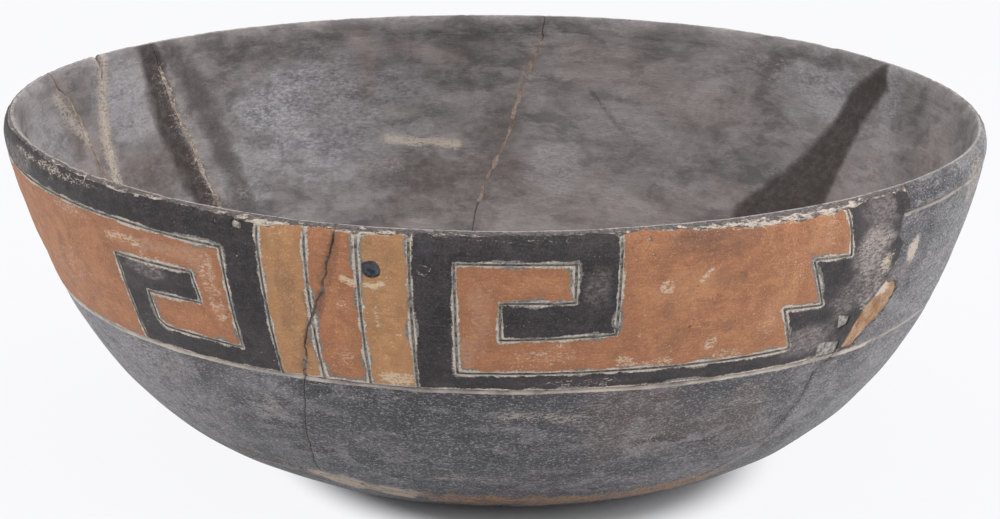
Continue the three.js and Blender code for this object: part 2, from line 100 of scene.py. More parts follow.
LOSS_OUTLINE = [
    (48.9, 26.6), (51.8, 25.6), (54.4, 26.4), (54.9, 29.4), (54.3, 33.0), (53.0, 36.4), (51.6, 38.7),
    (50.3, 41.0), (49.6, 43.1), (47.6, 43.2), (46.6, 41.6), (47.2, 39.2), (48.0, 36.6), (48.9, 33.6),
    (48.5, 30.0),
]
# Where the dark paint has come off beside the right break.
BARE_PLACES = [
    [(44.3, 31.4), (46.6, 33.0), (46.7, 35.6), (45.0, 35.9)],
    [(42.3, 39.2), (46.4, 39.9), (46.6, 44.6), (43.2, 45.1)],
]
# Where the paint starts below the lip's crown, round one design.
PAINT_TOP = [
    (-95, 1.7), (-60, 1.5), (-30, 1.8), (-27, 2.4), (-26, 3.2), (-23, 2.0), (-21, 1.5), (-19, 1.5),
    (-17, 2.2), (-15, 2.6), (-9.6, 2.4), (-8.4, 1.6), (12, 1.4), (14, 1.6), (20, 1.6), (23, 2.0),
    (30, 2.4), (36, 2.8), (41, 2.6), (42.5, 2.0), (55, 1.8),
]
BED_DEPTH = 0.36
PAINT_THICKNESS = 0.4

# Breaks run from above the lip to the foot: (turn, share of the wall's length).
FRONT_FOOT = (-28.9, 0.64)
RIGHT_FOOT = (34.8, 0.689)
REAR_FOOT = (186.0, 0.73)
REAR_LEFT_FOOT = (229.0, 0.72)
LEFT_FOOT = (248.0, 0.735)
LEFT_FORK = (248.5, 0.37)
FRONT_BREAK = [
    (-17, -0.04), (-17.4, 0.033), (-18.1, 0.083), (-19, 0.133), (-21.8, 0.233), (-22.4, 0.281),
    (-24.7, 0.41), (-26, 0.475), FRONT_FOOT,
]
RIGHT_BREAK = [
    (53.3, -0.04), (53, 0.039), (51.7, 0.064), (52, 0.091), (53.5, 0.135), (53, 0.168),
    (49.6, 0.235), (47.4, 0.323), (43.8, 0.364), (44, 0.42), (42.6, 0.54), (37.8, 0.642), RIGHT_FOOT,
]
REAR_BREAK = [
    (173.5, -0.04), (174.2, 0.067), (176.8, 0.167), (178.5, 0.267), (179.9, 0.323), (182.3, 0.392),
    (184.1, 0.466), (185, 0.55), REAR_FOOT,
]
REAR_LEFT_BREAK = [
    (233.5, -0.04), (231.7, 0.084), (229.1, 0.242), (228.9, 0.31), (227.5, 0.43), (228.5, 0.52),
    REAR_LEFT_FOOT,
]
LEFT_BREAK_TOP = [(242.9, -0.04), (243.7, 0.064), (246.7, 0.214), (247.6, 0.29), LEFT_FORK]
LEFT_BREAK_FOOT = [LEFT_FORK, (249, 0.46), (250, 0.56), LEFT_FOOT]
LEFT_RIM_BREAK = [(256.4, -0.04), (255.8, 0.028), (252.6, 0.08), (251, 0.126), (250, 0.25), LEFT_FORK]
FOOT_BREAK = [
    FRONT_FOOT, (-16.2, 0.69), (0.7, 0.739), (17.7, 0.691), RIGHT_FOOT, (52, 0.71), (68, 0.7),
    (86, 0.73), (103, 0.715), (120, 0.74), (138, 0.72), (155, 0.735), (172, 0.715), REAR_FOOT,
    (207, 0.735), REAR_LEFT_FOOT, (238, 0.71), LEFT_FOOT, (264, 0.71), (282, 0.69), (300, 0.67),
    (316, 0.66), (FRONT_FOOT[0] + 360, FRONT_FOOT[1]),
]
BREAK_GAP = 0.22
CRACK_DEPTH = 0.45
LINE_HALF_WIDTH = 0.27
NOTCH_TURN = 243.4
FAR = 1e3
RIPPLE_ROWS = 512
WELD_DISTANCE = 0.004
SMOOTH_ANGLE = 50
# How deep in a break a point lies: zero on the face, this much under the face, one at mid-wall.
UNDER_FACE = 0.6


# The wall's section: one long row of points from the floor's middle, up the inside, over the lip,
# down the outside and under the foot to its middle.
def smooth(share):
    share = np.clip(share, 0.0, 1.0)
    return share * share * (3 - 2 * share)


def outer_section():
    bend = np.linspace(0.0, math.pi / 2, 40)
    lip = np.stack([
        RIM_RADIUS - LIP_THICKNESS / 2 * (1 - np.sin(bend)),
        HEIGHT - LIP_ROUND * (1 - np.cos(bend)),
    ], axis=1)
    share = np.linspace(0.0, 1.0, 900)[1:, None]
    rest = 1 - share
    lip_foot = np.array([RIM_RADIUS, HEIGHT - LIP_ROUND])
    upper_handle = np.array([RIM_RADIUS, HEIGHT - LIP_ROUND - LIP_UPRIGHT])
    lower_handle = np.array([FOOT_RADIUS + FOOT_SPREAD, 0.0])
    foot = np.array([FOOT_RADIUS, 0.0])
    wall = (rest ** 3 * lip_foot + 3 * rest ** 2 * share * upper_handle
            + 3 * rest * share ** 2 * lower_handle + share ** 3 * foot)
    return np.concatenate([lip, wall]), len(lip) - 1


OUTER, LIP_END = outer_section()
STEP_LENGTHS = np.hypot(*np.diff(OUTER, axis=0).T)
OUTER_DOWN = np.concatenate([[0.0], np.cumsum(STEP_LENGTHS)])
WALL_LENGTH = OUTER_DOWN[-1]
LIP_LENGTH = OUTER_DOWN[LIP_END]
TANGENT = np.gradient(OUTER, OUTER_DOWN, axis=0)
TANGENT /= np.hypot(TANGENT[:, 0], TANGENT[:, 1])[:, None]
OUTER_NORMAL = np.stack([-TANGENT[:, 1], TANGENT[:, 0]], axis=1)
SHARE = np.clip((OUTER_DOWN - LIP_LENGTH) / (WALL_LENGTH - LIP_LENGTH), 0, 1)
UPPER_WALL = LIP_THICKNESS + (WALL_THICKNESS - LIP_THICKNESS) * np.minimum(1, 3 * SHARE)
THICKNESS = UPPER_WALL + (FLOOR_THICKNESS - UPPER_WALL) * np.maximum(0, 1.5 * SHARE - 0.5)
INNER = OUTER - OUTER_NORMAL * THICKNESS[:, None]
INNER[:LIP_END, 0] = 2 * RIM_RADIUS - LIP_THICKNESS - OUTER[:LIP_END, 0]
INNER[:LIP_END, 1] = OUTER[:LIP_END, 1]
INNER_NORMAL = -OUTER_NORMAL
INNER_NORMAL[:LIP_END, 1] *= -1
END = WALL_LENGTH + FOOT_RADIUS
SECTION_DOWN = np.concatenate([[-END], -OUTER_DOWN[:0:-1], OUTER_DOWN, [END]])
SECTION = np.concatenate([[[0.0, FLOOR_THICKNESS]], INNER[:0:-1], OUTER, [[0.0, 0.0]]])
SECTION_NORMAL = np.concatenate([[[0.0, 1.0]], INNER_NORMAL[:0:-1], OUTER_NORMAL, [[0.0, -1.0]]])
DEGREE_LENGTH = math.radians(1) * float(np.interp(22.0, OUTER_DOWN, OUTER[:, 0]))


def degree_length(down):
    """How many millimetres one degree of turn is, at a depth on the wall."""
    return np.maximum(math.radians(1) * np.interp(down, SECTION_DOWN, SECTION[:, 0]), 0.02)


def turn_from(turn, middle):
    """The turn from a middle, between -180 and 180 degrees."""
    return (turn - middle + 180) % 360 - 180


def on_wall(turn, down, proud=0.0):
    """Places on the hand-shaped wall, in metres, a little proud of it or sunk in it."""
    radius = np.interp(down, SECTION_DOWN, SECTION[:, 0])
    height = np.interp(down, SECTION_DOWN, SECTION[:, 1])
    radius = radius + proud * np.interp(down, SECTION_DOWN, SECTION_NORMAL[:, 0])
    height = height + proud * np.interp(down, SECTION_DOWN, SECTION_NORMAL[:, 1])
    return hand_shaped(turn, radius, height)


def hand_shaped(turn, radius, height):
    """The oval mouth, the uneven rim and the foot off centre that the potter's hands gave it."""
    up = height / HEIGHT
    angle = np.radians(turn)
    radius = radius + up ** 2 * OVAL_GROWTH * np.cos(2 * (angle - math.radians(OVAL_TURN)))
    rise = (RIM_TWO_WAVE[0] * np.cos(2 * (angle - math.radians(RIM_TWO_WAVE[1])))
            + RIM_THREE_WAVE[0] * np.cos(3 * (angle - math.radians(RIM_THREE_WAVE[1]))))
    x = radius * np.sin(angle) + FOOT_OFFSET * (1 - up)
    y = -radius * np.cos(angle)
    z = height + up ** 2 * rise
    return np.stack([x, y, np.maximum(z, 0.0)], axis=-1) * MM


def ripple(turn, down, turn_wave, down_wave, seed):
    """Smooth hills and hollows between -1 and 1 over the wall. They meet where the turn comes round."""
    around = max(4, round(360 * DEGREE_LENGTH / turn_wave))
    heights = np.random.RandomState(seed).uniform(-1, 1, (around, RIPPLE_ROWS))
    across = (np.asarray(turn, float) % 360) / 360 * around
    along = np.asarray(down, float) / down_wave + RIPPLE_ROWS // 2
    column = np.floor(across).astype(int)
    row = np.floor(along).astype(int)
    column_share = smooth(across - column)
    row_share = smooth(along - row)
    left, right = column % around, (column + 1) % around
    top, bottom = row % RIPPLE_ROWS, (row + 1) % RIPPLE_ROWS
    upper = heights[left, top] * (1 - column_share) + heights[right, top] * column_share
    under = heights[left, bottom] * (1 - column_share) + heights[right, bottom] * column_share
    return upper * (1 - row_share) + under * row_share


def line_distance(turn, down, line):
    """How far each place on the wall lies from a drawn line, in millimetres."""
    scale = degree_length(down)
    nearest = np.full(np.shape(turn), FAR)
    for (turn_a, down_a), (turn_b, down_b) in zip(line[:-1], line[1:]):
        across, along = (turn - turn_a) * scale, down - down_a
        reach_across, reach_along = (turn_b - turn_a) * scale, down_b - down_a
        share = (across * reach_across + along * reach_along) / (reach_across ** 2 + reach_along ** 2)
        share = np.clip(share, 0, 1)
        away = np.hypot(across - share * reach_across, along - share * reach_along)
        nearest = np.minimum(nearest, away)
    return nearest


def nearest_distance(turn, down, lines):
    """How far each place on the wall lies from the nearest of several lines."""
    nearest = np.full(np.shape(turn), FAR)
    for line in lines:
        nearest = np.minimum(nearest, line_distance(turn, down, line))
    return nearest


def inside_outline(turn, down, outline):
    """Whether each place on the wall lies inside a closed outline."""
    inside = np.zeros(np.shape(turn), bool)
    for (turn_a, down_a), (turn_b, down_b) in zip(outline, outline[1:] + outline[:1]):
        spans = (down_a > down) != (down_b > down)
        rise = down_b - down_a if down_b != down_a else 1e-9
        crossing = turn_a + (down - down_a) / rise * (turn_b - turn_a)
        inside ^= spans & (turn < crossing)
    return inside


def in_down(points):
    """A break with its shares of the wall's length turned into millimetres down."""
    return [(turn, share * WALL_LENGTH) for turn, share in points]


def shifted(line, turn):
    return [(place[0] + turn, place[1]) for place in line]


BREAKS = {
    "front": in_down(FRONT_BREAK),
    "right": in_down(RIGHT_BREAK),
    "rear": in_down(REAR_BREAK),
    "rear_left": in_down(REAR_LEFT_BREAK),
    "left": in_down(LEFT_BREAK_TOP + LEFT_BREAK_FOOT[1:]),
    "left_rim": in_down(LEFT_RIM_BREAK),
    "left_side": in_down(LEFT_RIM_BREAK + LEFT_BREAK_FOOT[1:]),
}
FOOT_RING = in_down(FOOT_BREAK)


def foot_break_down(turn):
    ring = np.array(FOOT_RING)
    return np.interp((np.asarray(turn) - FRONT_FOOT[0]) % 360 + FRONT_FOOT[0], ring[:, 0], ring[:, 1])


def foot_jag(turn):
    """The small jags of the break round the base."""
    return 0.25 * ripple(turn, 0, 2.4, 9, 77) + 0.12 * ripple(turn, 0, 0.9, 9, 78)


def jag(turn, down, seed):
    """The small jags of a broken edge."""
    return (0.3 * ripple(turn, down, 40, 2.6, seed) + 0.14 * ripple(turn, down, 40, 0.9, seed + 1))


def break_turn(line, down, shift=0.0):
    """Where a break runs at each depth, with its jags."""
    points = np.array(line)
    turn = np.interp(down, points[:, 1], points[:, 0])
    seed = 500 + int(abs(points[0, 0]))
    return turn + jag(turn * 0, down, seed) / DEGREE_LENGTH + shift


def hand_lift(turn, down):
    """The slow hills and hollows of a wall built and scraped by hand, the same under clay and paint."""
    flat = smooth((END - np.abs(down)) / 25) * np.where(down > 0, smooth((WALL_LENGTH - down) / 16), 1)
    calm = 0.45 + 0.55 * smooth((np.abs(down) - 1) / 8)
    hills = (0.34 * ripple(turn, down, 42, 30, 11) + 0.13 * ripple(turn, down, 15, 7, 12)
             + 0.035 * ripple(turn, down, 16, 2.2, 13))
    return hills * flat * calm


# Reading and writing a mesh's points and values.
def read_points(piece):
    points = np.empty(len(piece.data.vertices) * 3)
    piece.data.vertices.foreach_get("co", points)
    return points.reshape(-1, 3)


def write_points(piece, points):
    piece.data.vertices.foreach_set("co", np.asarray(points, float).ravel())
    piece.data.update()


def read_value(piece, name, size):
    field = "vector" if size == 3 else "value"
    values = np.empty(len(piece.data.vertices) * size)
    piece.data.attributes[name].data.foreach_get(field, values)
    return values.reshape(-1, 3) if size == 3 else values


def write_value(piece, name, values):
    """Writes a value per point: one number, three for a place, or four for the marks."""
    values = np.asarray(values, float)
    kinds = {1: ("FLOAT", "value"), 3: ("FLOAT_VECTOR", "vector"), 4: ("FLOAT_COLOR", "color")}
    kind, field = kinds[1 if values.ndim == 1 else values.shape[1]]
    held = piece.data.attributes.get(name) or piece.data.attributes.new(name, kind, "POINT")
    held.data.foreach_set(field, values.ravel())


def only(piece):
    bpy.ops.object.select_all(action="DESELECT")
    piece.select_set(True)
    bpy.context.view_layer.objects.active = piece


def flat_grid(name, columns, rows):
    """A flat grid to be laid on the wall, with the column and row number of each of its points."""
    bpy.ops.object.select_all(action="DESELECT")
    bpy.ops.mesh.primitive_grid_add(x_subdivisions=columns, y_subdivisions=rows, size=1.0)
    piece = bpy.context.object
    piece.name = name
    piece.data.name = name
    for layer in list(piece.data.uv_layers):
        piece.data.uv_layers.remove(layer)
    points = read_points(piece)
    column = np.rint((points[:, 0] + 0.5) * columns).astype(int)
    row = np.rint((points[:, 1] + 0.5) * rows).astype(int)
    return piece, column, row


def smooth_shading(piece):
    only(piece)
    bpy.ops.object.shade_smooth_by_angle(angle=math.radians(SMOOTH_ANGLE))


def close_up(piece):
    """Welds a piece where its points meet, turns its faces outward and shades it smooth."""
    only(piece)
    bpy.ops.object.mode_set(mode="EDIT")
    bpy.ops.mesh.select_all(action="SELECT")
    bpy.ops.mesh.remove_doubles(threshold=WELD_DISTANCE * MM)
    bpy.ops.mesh.select_all(action="SELECT")
    bpy.ops.mesh.normals_make_consistent(inside=False)
    bpy.ops.object.mode_set(mode="OBJECT")
    smooth_shading(piece)


# What has happened to the clay's face: the paint's beds, the incised lines, chips and broken edges.
def bed_depth(turn, down):
    """How deep the beds for the paint go: nothing at the bare lip, then a slope, then an even floor."""
    top = np.interp(down, [0.7, 1.8, 3.2], [0, 0.6 * BED_DEPTH, BED_DEPTH])
    beyond = smooth((ROW_FOOT + 0.3 - down) / 0.5)
    return top * in_design(turn) * beyond


def past_right_break(turn, down):
    """The bed stops at the right break, where the paint stops."""
    points = np.array(BREAKS["right"])
    edge = np.interp(down, points[:, 1], points[:, 0])
    return smooth((turn - edge) * DEGREE_LENGTH / 0.6 + 0.4) * smooth((90 - turn) / 3)


def groove(distance, width, depth):
    """The section of an incised line: a rounded trough."""
    return -depth * (1 - smooth(distance / (width / 2))) ** 0.7


def incised(turn, down):
    """The border line round the whole pot and the upper lines of its two plain stretches."""
    width = 1.0 + 0.3 * ripple(turn, 0, 5, 5, 32)
    return groove(np.abs(line_offset(turn, down)), width, 0.5)


def line_offset(turn, down):
    """How far below the nearest of those lines each place lies, less than zero above it."""
    offset = down - ROW_FOOT - 0.16 * ripple(turn, 0, 9, 5, 31)
    for start, end in UPPER_LINES:
        away = np.abs(turn_from(turn, (start + end) / 2)) - (end - start) / 2
        reach = np.maximum(away * DEGREE_LENGTH, 0)
        below = down - UPPER_LINE - 0.2 * ripple(turn, 0, 14, 5, 33)
        below = np.where(below < 0, -1, 1) * np.hypot(below, reach)
        offset = np.where(np.abs(below) < np.abs(offset), below, offset)
    return np.where(down > 0, np.clip(offset, -9, 9), 9.0)


def in_design(turn):
    """One on the stretches that hold a painted design and zero on the plain stretches."""
    within = np.zeros(np.shape(turn))
    for start, end in ((LEFT_END, FRONT_END), (LEFT_END + REPEAT_TURN, REAR_END + REPEAT_TURN)):
        room = (end - start) / 2 - np.abs(turn_from(turn, (start + end) / 2))
        within = np.maximum(within, smooth(room * DEGREE_LENGTH / 0.7 + 0.5))
    return within


def in_band(turn, down):
    """One where the painted designs lie, down from the lip, and zero elsewhere."""
    above_foot_line = smooth((ROW_FOOT + 0.2 - down) / 0.4) * (down > 0)
    return in_design(turn) * (1 - past_right_break(turn, down)) * above_foot_line


def lip_chips(turn, down):
    """Crumbled places along the lip, most of them at the left front."""
    near = np.exp(-((down - 0.8) / 1.3) ** 2)
    worn_left = np.exp(-(turn_from(turn, -62) / 34) ** 2)
    threshold = 0.55 - 0.4 * worn_left
    spots = ripple(turn, down, 2.6, 2.2, 41) * 0.6 + ripple(turn, down, 9, 6, 42) * 0.6
    chips = smooth((spots - threshold) / 0.35)
    fine = 0.07 * ripple(turn, down, 1.6, 1.4, 43) + 0.07 * ripple(turn, down, 4.5, 3, 44)
    return near * (fine - (0.22 + 0.3 * worn_left) * chips)


def hole_distance(turn, down):
    return np.hypot((turn - HOLE_PLACE[0]) * degree_length(down), down - HOLE_PLACE[1])


def clay_lift(turn, down, crack):
    """How far the clay's face stands from the plain section."""
    lift = hand_lift(turn, down) + lip_chips(turn, down)
    outside = down > 0
    bed = bed_depth(turn, down)
    bed = bed * (1 - past_right_break(turn, down))
    loss = inside_outline(turn, down, LOSS_OUTLINE)
    loss_depth = 1.1 * smooth(line_distance(turn, down, LOSS_OUTLINE + LOSS_OUTLINE[:1]) / 0.5) * loss
    lines = incised(turn, down)
    cut = np.minimum(-bed, lines)
    cut = np.minimum(cut, -loss_depth)
    cut = np.where(hole_distance(turn, down) < HOLE_RADIUS + 0.2, -1.6, cut)
    lift = lift + np.where(outside, cut, 0)
    crumble = 0.5 + 0.5 * ripple(turn, down, 3, 2.4, 45)
    shoulder = np.exp(-(crack / (0.2 + 0.35 * crumble)) ** 2)
    return lift - (0.04 + 0.24 * crumble ** 2) * shoulder


def notch_drop(turn, down):
    """The small notch broken out of the rim at the left."""
    away = turn_from(turn, NOTCH_TURN) * DEGREE_LENGTH
    return 2.3 * (1 - smooth((np.abs(away) - 0.5) / 0.9)) * (1 - smooth((np.abs(down) - 1.5) / 3))


# Sherds. Their columns lie closer together beside a break.
EDGE_COLUMNS = np.array([0, 0.3, 0.7, 1.2])


def sherd_rows(end_down):
    """Depths of a sherd's rows down one side, close together where lines and the lip need it."""
    rows = list(np.arange(0, 3.6, 0.45))
    rows += [4.2, 5.0, 5.8, 6.3, 6.6, 6.85, 7.05, 7.25, 7.45, 7.7, 8.0, 8.5]
    rows += list(np.arange(9.2, 43.0, 1.12))
    rows += [43.1, 43.4, 43.65, 43.85, 44.05, 44.25, 44.45, 44.7, 45.0, 45.5, 46.3, 47.4, 48.6]
    fixed = np.array(rows)
    shares = np.linspace(0, 1, max(3, round((end_down - 50) / 1.25)) + 1)
    return fixed, shares


def make_sherd(name, left, right, left_shift=0.0, right_shift=0.0, closed_point=False, column_step=0.68):
    """One sherd between two breaks: from the foot break up the inside, over the lip and down again."""
    left_points, right_points = np.array(left), np.array(right)
    left_end, right_end = left_points[-1, 1], right_points[-1, 1]
    fixed, shares = sherd_rows(max(left_end, right_end))
    half_rows = len(fixed) + len(shares) - 2
    width = (right_points[0, 0] + right_shift - left_points[0, 0] - left_shift) * DEGREE_LENGTH
    near = EDGE_COLUMNS / width
    middle_columns = max(2, round((width - 2 * EDGE_COLUMNS[-1]) / column_step))
    middle = np.linspace(near[-1], 1 - near[-1], middle_columns + 1)
    across = np.concatenate([near[:-1], middle, 1 - near[-2::-1]])
    piece, column, row = flat_grid(f"aged_{name}", len(across) - 1, 2 * half_rows)
    level = np.abs(row - half_rows)
    sign = np.where(row >= half_rows, 1.0, -1.0)
    share = across[column]
    bottom_turn = left_points[-1, 0] + left_shift + share * (
        right_points[-1, 0] + right_shift - left_points[-1, 0] - left_shift)
    if closed_point:
        depth_table = np.linspace(0, 1, half_rows + 1)
        bottom = left_end
        down = depth_table[level] ** 1.1 * bottom
        left_down = right_down = down
    else:
        bottom = foot_break_down(bottom_turn)
        start = fixed[-1]
        table = np.concatenate([fixed, np.zeros(len(shares) - 1)])
        table_share = np.concatenate([np.zeros(len(fixed)), shares[1:]])
        row_share = table_share[level]
        down, left_down, right_down = (
            np.where(row_share > 0, start + row_share * (ending - start), table[level])
            for ending in (bottom, left_end, right_end))
        down = down - BREAK_GAP / 2 * row_share
    half_gap = BREAK_GAP / 2 / DEGREE_LENGTH
    left_turn = break_turn(left, left_down, left_shift) + half_gap
    right_turn = break_turn(right, right_down, right_shift) - half_gap
    right_turn = np.maximum(right_turn, left_turn + 0.02)
    turn = left_turn + share * (right_turn - left_turn)
    if not closed_point:
        down = down + foot_jag(turn) * row_share ** 6
    signed = down * sign
    reach = degree_length(down)
    crack = np.minimum((turn - left_turn) * reach, (right_turn - turn) * reach)
    if not closed_point:
        crack = np.minimum(crack, np.maximum(bottom - down, 0))
    last = column.max()
    side = np.where(column == 0, -half_gap, np.where(column == last, half_gap, 0.0))
    below = np.where((level == half_rows) & (not closed_point), BREAK_GAP / 2, 0.0)
    write_value(piece, "push", np.stack([side, below, np.zeros_like(turn)], axis=1))
    write_value(piece, "wall", np.stack([turn, signed, np.zeros_like(turn)], axis=1))
    write_value(piece, "crack", crack)
    write_points(piece, on_wall(turn, signed, clay_lift(turn, signed, crack)))
    notch = notch_drop(turn, signed)
    points = read_points(piece)
    points[:, 2] -= notch * MM
    write_points(piece, points)
    close_break(piece)
    return piece


def broken_side(turn, down):
    """Where a broken side lies at mid-wall, a little rough."""
    middle = (on_wall(turn, down) + on_wall(turn, -down)) / 2
    middle[:, 2] += 0.16 * ripple(turn, down, 2.2, 1.7, 51) * MM
    middle[:, 2] -= notch_drop(turn, down) * MM
    return middle


def close_break(piece):
    """Closes a sherd's broken sides: its open edge is extruded to under the face, then to mid-wall."""
    count = len(piece.data.vertices)
    only(piece)
    bpy.ops.object.mode_set(mode="EDIT")
    bpy.ops.mesh.select_mode(type="EDGE")
    bpy.ops.mesh.select_all(action="DESELECT")
    bpy.ops.mesh.select_non_manifold()
    bpy.ops.mesh.extrude_edges_move()
    bpy.ops.mesh.extrude_edges_move()
    bpy.ops.object.mode_set(mode="OBJECT")
    wall, push = read_value(piece, "wall", 3), read_value(piece, "push", 3)
    points = read_points(piece)
    half = (len(points) - count) // 2
    turn = wall[count:, 0] + push[count:, 0]
    down = np.abs(wall[count:, 1]) + push[count:, 1]
    sign = np.where(wall[count:, 1] < 0, -1.0, 1.0)
    points[count:count + half] = on_wall(turn[:half], (down * sign)[:half], -CRACK_DEPTH)
    points[count:count + half, 2] -= notch_drop(turn[:half], down[:half]) * MM
    points[count + half:] = broken_side(turn[half:], down[half:])
    write_points(piece, points)
    wall[count:count + half, 2] = UNDER_FACE
    wall[count + half:, 2] = 1
    write_value(piece, "wall", wall)
    piece.data.attributes.remove(piece.data.attributes["push"])
    close_up(piece)


def make_base(name):
    """The base sherd: from the foot's middle out, up the outside to its break, and down the inside."""
    turns = np.linspace(-187, 173, 481)
    outer_shares = np.linspace(0, 1, 34)
    disc = np.linspace(4, FOOT_RADIUS - 4, 11)
    disc = np.concatenate([[0, 1.5], disc, [FOOT_RADIUS - 2, FOOT_RADIUS - 0.8]])
    disc_rows = len(disc)
    half = disc_rows + len(outer_shares) + 1
    piece, column, row = flat_grid(f"aged_{name}", len(turns) - 1, 2 * half)
    turn = turns[column]
    from_middle = np.where(row < half, row, 2 * half - row)
    sign = np.where(row < half, 1.0, -1.0)
    line = foot_break_down(turn) + foot_jag(turn)
    bottom = line + BREAK_GAP / 2
    on_disc = from_middle < disc_rows
    disc_index = np.minimum(from_middle, disc_rows - 1)
    wall_share = outer_shares[np.clip(from_middle - disc_rows, 0, len(outer_shares) - 1)]
    down = np.where(on_disc, END - disc[disc_index], WALL_LENGTH + wall_share * (bottom - WALL_LENGTH))
    crack = np.where(on_disc, FAR, down - bottom)
    signed = down * sign
    lift = clay_lift(turn, signed, np.maximum(crack, 0))
    lift = np.where(on_disc & (sign > 0), 0, lift)
    points = on_wall(turn, signed, lift)
    under = from_middle == half - 1
    points[under] = on_wall(turn[under], (line * sign)[under], -CRACK_DEPTH)
    ring = from_middle == half
    points[ring] = broken_side(turn[ring], line[ring])
    write_points(piece, points)
    write_value(piece, "wall", np.stack([turn, signed, ring + UNDER_FACE * under], axis=1))
    write_value(piece, "crack", np.maximum(crack, 0))
    close_up(piece)
    return piece


# Paint, filler and pitch: skins cut from a fine grid, as a sheet is cut to an outline.
def cut_skins(name, turn_span, down_span, step, margin, side=1.0):
    """Lays a fine grid on the wall, cuts away what lies outside the margin and parts the rest."""
    columns = round((turn_span[1] - turn_span[0]) * DEGREE_LENGTH / step)
    rows = round((down_span[1] - down_span[0]) / step)
    piece, column, row = flat_grid(name, columns, rows)
    turn = turn_span[0] + column / columns * (turn_span[1] - turn_span[0])
    down = down_span[0] + row / rows * (down_span[1] - down_span[0])
    room = margin(turn, down, 0.74 * step)
    mesh = piece.data
    corners = np.empty(len(mesh.loops), int)
    mesh.loops.foreach_get("vertex_index", corners)
    face_room = room[corners.reshape(-1, 4)].mean(axis=1)
    write_value(piece, "wall", np.stack([turn, down * side, np.zeros_like(turn)], axis=1))
    only(piece)
    bpy.ops.object.mode_set(mode="EDIT")
    bpy.ops.mesh.select_mode(type="FACE")
    bpy.ops.mesh.select_all(action="DESELECT")
    bpy.ops.object.mode_set(mode="OBJECT")
    mesh.polygons.foreach_set("select", face_room <= 0)
    bpy.ops.object.mode_set(mode="EDIT")
    bpy.ops.mesh.delete(type="FACE")
    bpy.ops.object.mode_set(mode="OBJECT")
    trim_to_margin(piece, step, margin, side)
    only(piece)
    bpy.ops.object.mode_set(mode="EDIT")
    bpy.ops.mesh.select_all(action="SELECT")
    bpy.ops.mesh.separate(type="LOOSE")
    bpy.ops.object.mode_set(mode="OBJECT")
    return list(bpy.context.selected_objects)


def trim_to_margin(piece, step, margin, side):
    """Moves the points of the cut edge onto the outline itself."""
    mesh = piece.data
    edges = np.empty(len(mesh.edges) * 2, int)
    mesh.edges.foreach_get("vertices", edges)
    loops = np.empty(len(mesh.loops), int)
    mesh.loops.foreach_get("edge_index", loops)
    uses = np.bincount(loops, minlength=len(mesh.edges))
    rim = np.unique(edges.reshape(-1, 2)[uses == 1])
    wall = read_value(piece, "wall", 3)
    turn, down = wall[rim, 0], wall[rim, 1] * side
    start_turn, start_down = turn.copy(), down.copy()
    scale = degree_length(down)
    nudge = 0.06
    furthest = 0.62 * step
    for _ in range(3):
        room = margin(turn, down)
        turn_nudge = nudge / scale
        slope_turn = (margin(turn + turn_nudge, down) - margin(turn - turn_nudge, down)) / (2 * nudge)
        slope_down = (margin(turn, down + nudge) - margin(turn, down - nudge)) / (2 * nudge)
        steep = np.maximum(slope_turn ** 2 + slope_down ** 2, 0.3)
        turn = turn - room * slope_turn / steep / scale
        down = down - room * slope_down / steep
        turn = start_turn + np.clip((turn - start_turn) * scale, -furthest, furthest) / scale
        down = start_down + np.clip(down - start_down, -furthest, furthest)
    wall[rim, 0], wall[rim, 1] = turn, down * side
    write_value(piece, "wall", wall)


def best_node(piece, nodes):
    """The CAD coat whose box this skin's box fits best, and how far off the corners are."""
    wall = read_value(piece, "wall", 3)
    points = on_wall(wall[:, 0], wall[:, 1], 0.0)
    low, high = points.min(axis=0), points.max(axis=0)
    fits = []
    for node in nodes:
        node_low, node_high = (np.array(corner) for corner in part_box(node))
        fits.append((np.abs(low - node_low).max() + np.abs(high - node_high).max(), node))
    return min(fits)


def raise_skin(piece, lift, thickness):
    """Puts a cut skin on the wall and gives it its thickness, into the wall."""
    wall = read_value(piece, "wall", 3)
    write_points(piece, on_wall(wall[:, 0], wall[:, 1], lift))
    outward = on_wall(wall[:, 0], wall[:, 1], lift + 1.0) - on_wall(wall[:, 0], wall[:, 1], lift)
    normals = np.empty(len(piece.data.vertices) * 3)
    piece.data.vertices.foreach_get("normal", normals)
    if (normals.reshape(-1, 3) * outward).sum() < 0:
        piece.data.flip_normals()
    only(piece)
    modifier = piece.modifiers.new("thickness", "SOLIDIFY")
    modifier.thickness = thickness * MM
    modifier.offset = -1.0
    bpy.ops.object.modifier_apply(modifier="thickness")
    smooth_shading(piece)


def ragged(turn, down, seed, coarse, fine):
    """How an old edge wanders."""
    return coarse * ripple(turn, down, 2.6, 2.6, seed) + fine * ripple(turn, down, 0.9, 0.9, seed + 1)


def band_lines(turn_shift, right_end):
    """Every incised line of one design: its two frets, its stripes and its edges."""
    foot = [(LEFT_END - 3, ROW_FOOT), (right_end + 3, ROW_FOOT)]
    lines = [RIGHT_FRET_LINE, LEFT_FRET_LINE, foot, [(LEFT_END, 0), (LEFT_END, 50)]]
    lines += [[(turn, 0), (turn, 50)] for turn in STRIPE_TURNS]
    if turn_shift:
        lines.append([(right_end, 0), (right_end, 50)])
    return [shifted(line, turn_shift) for line in lines]


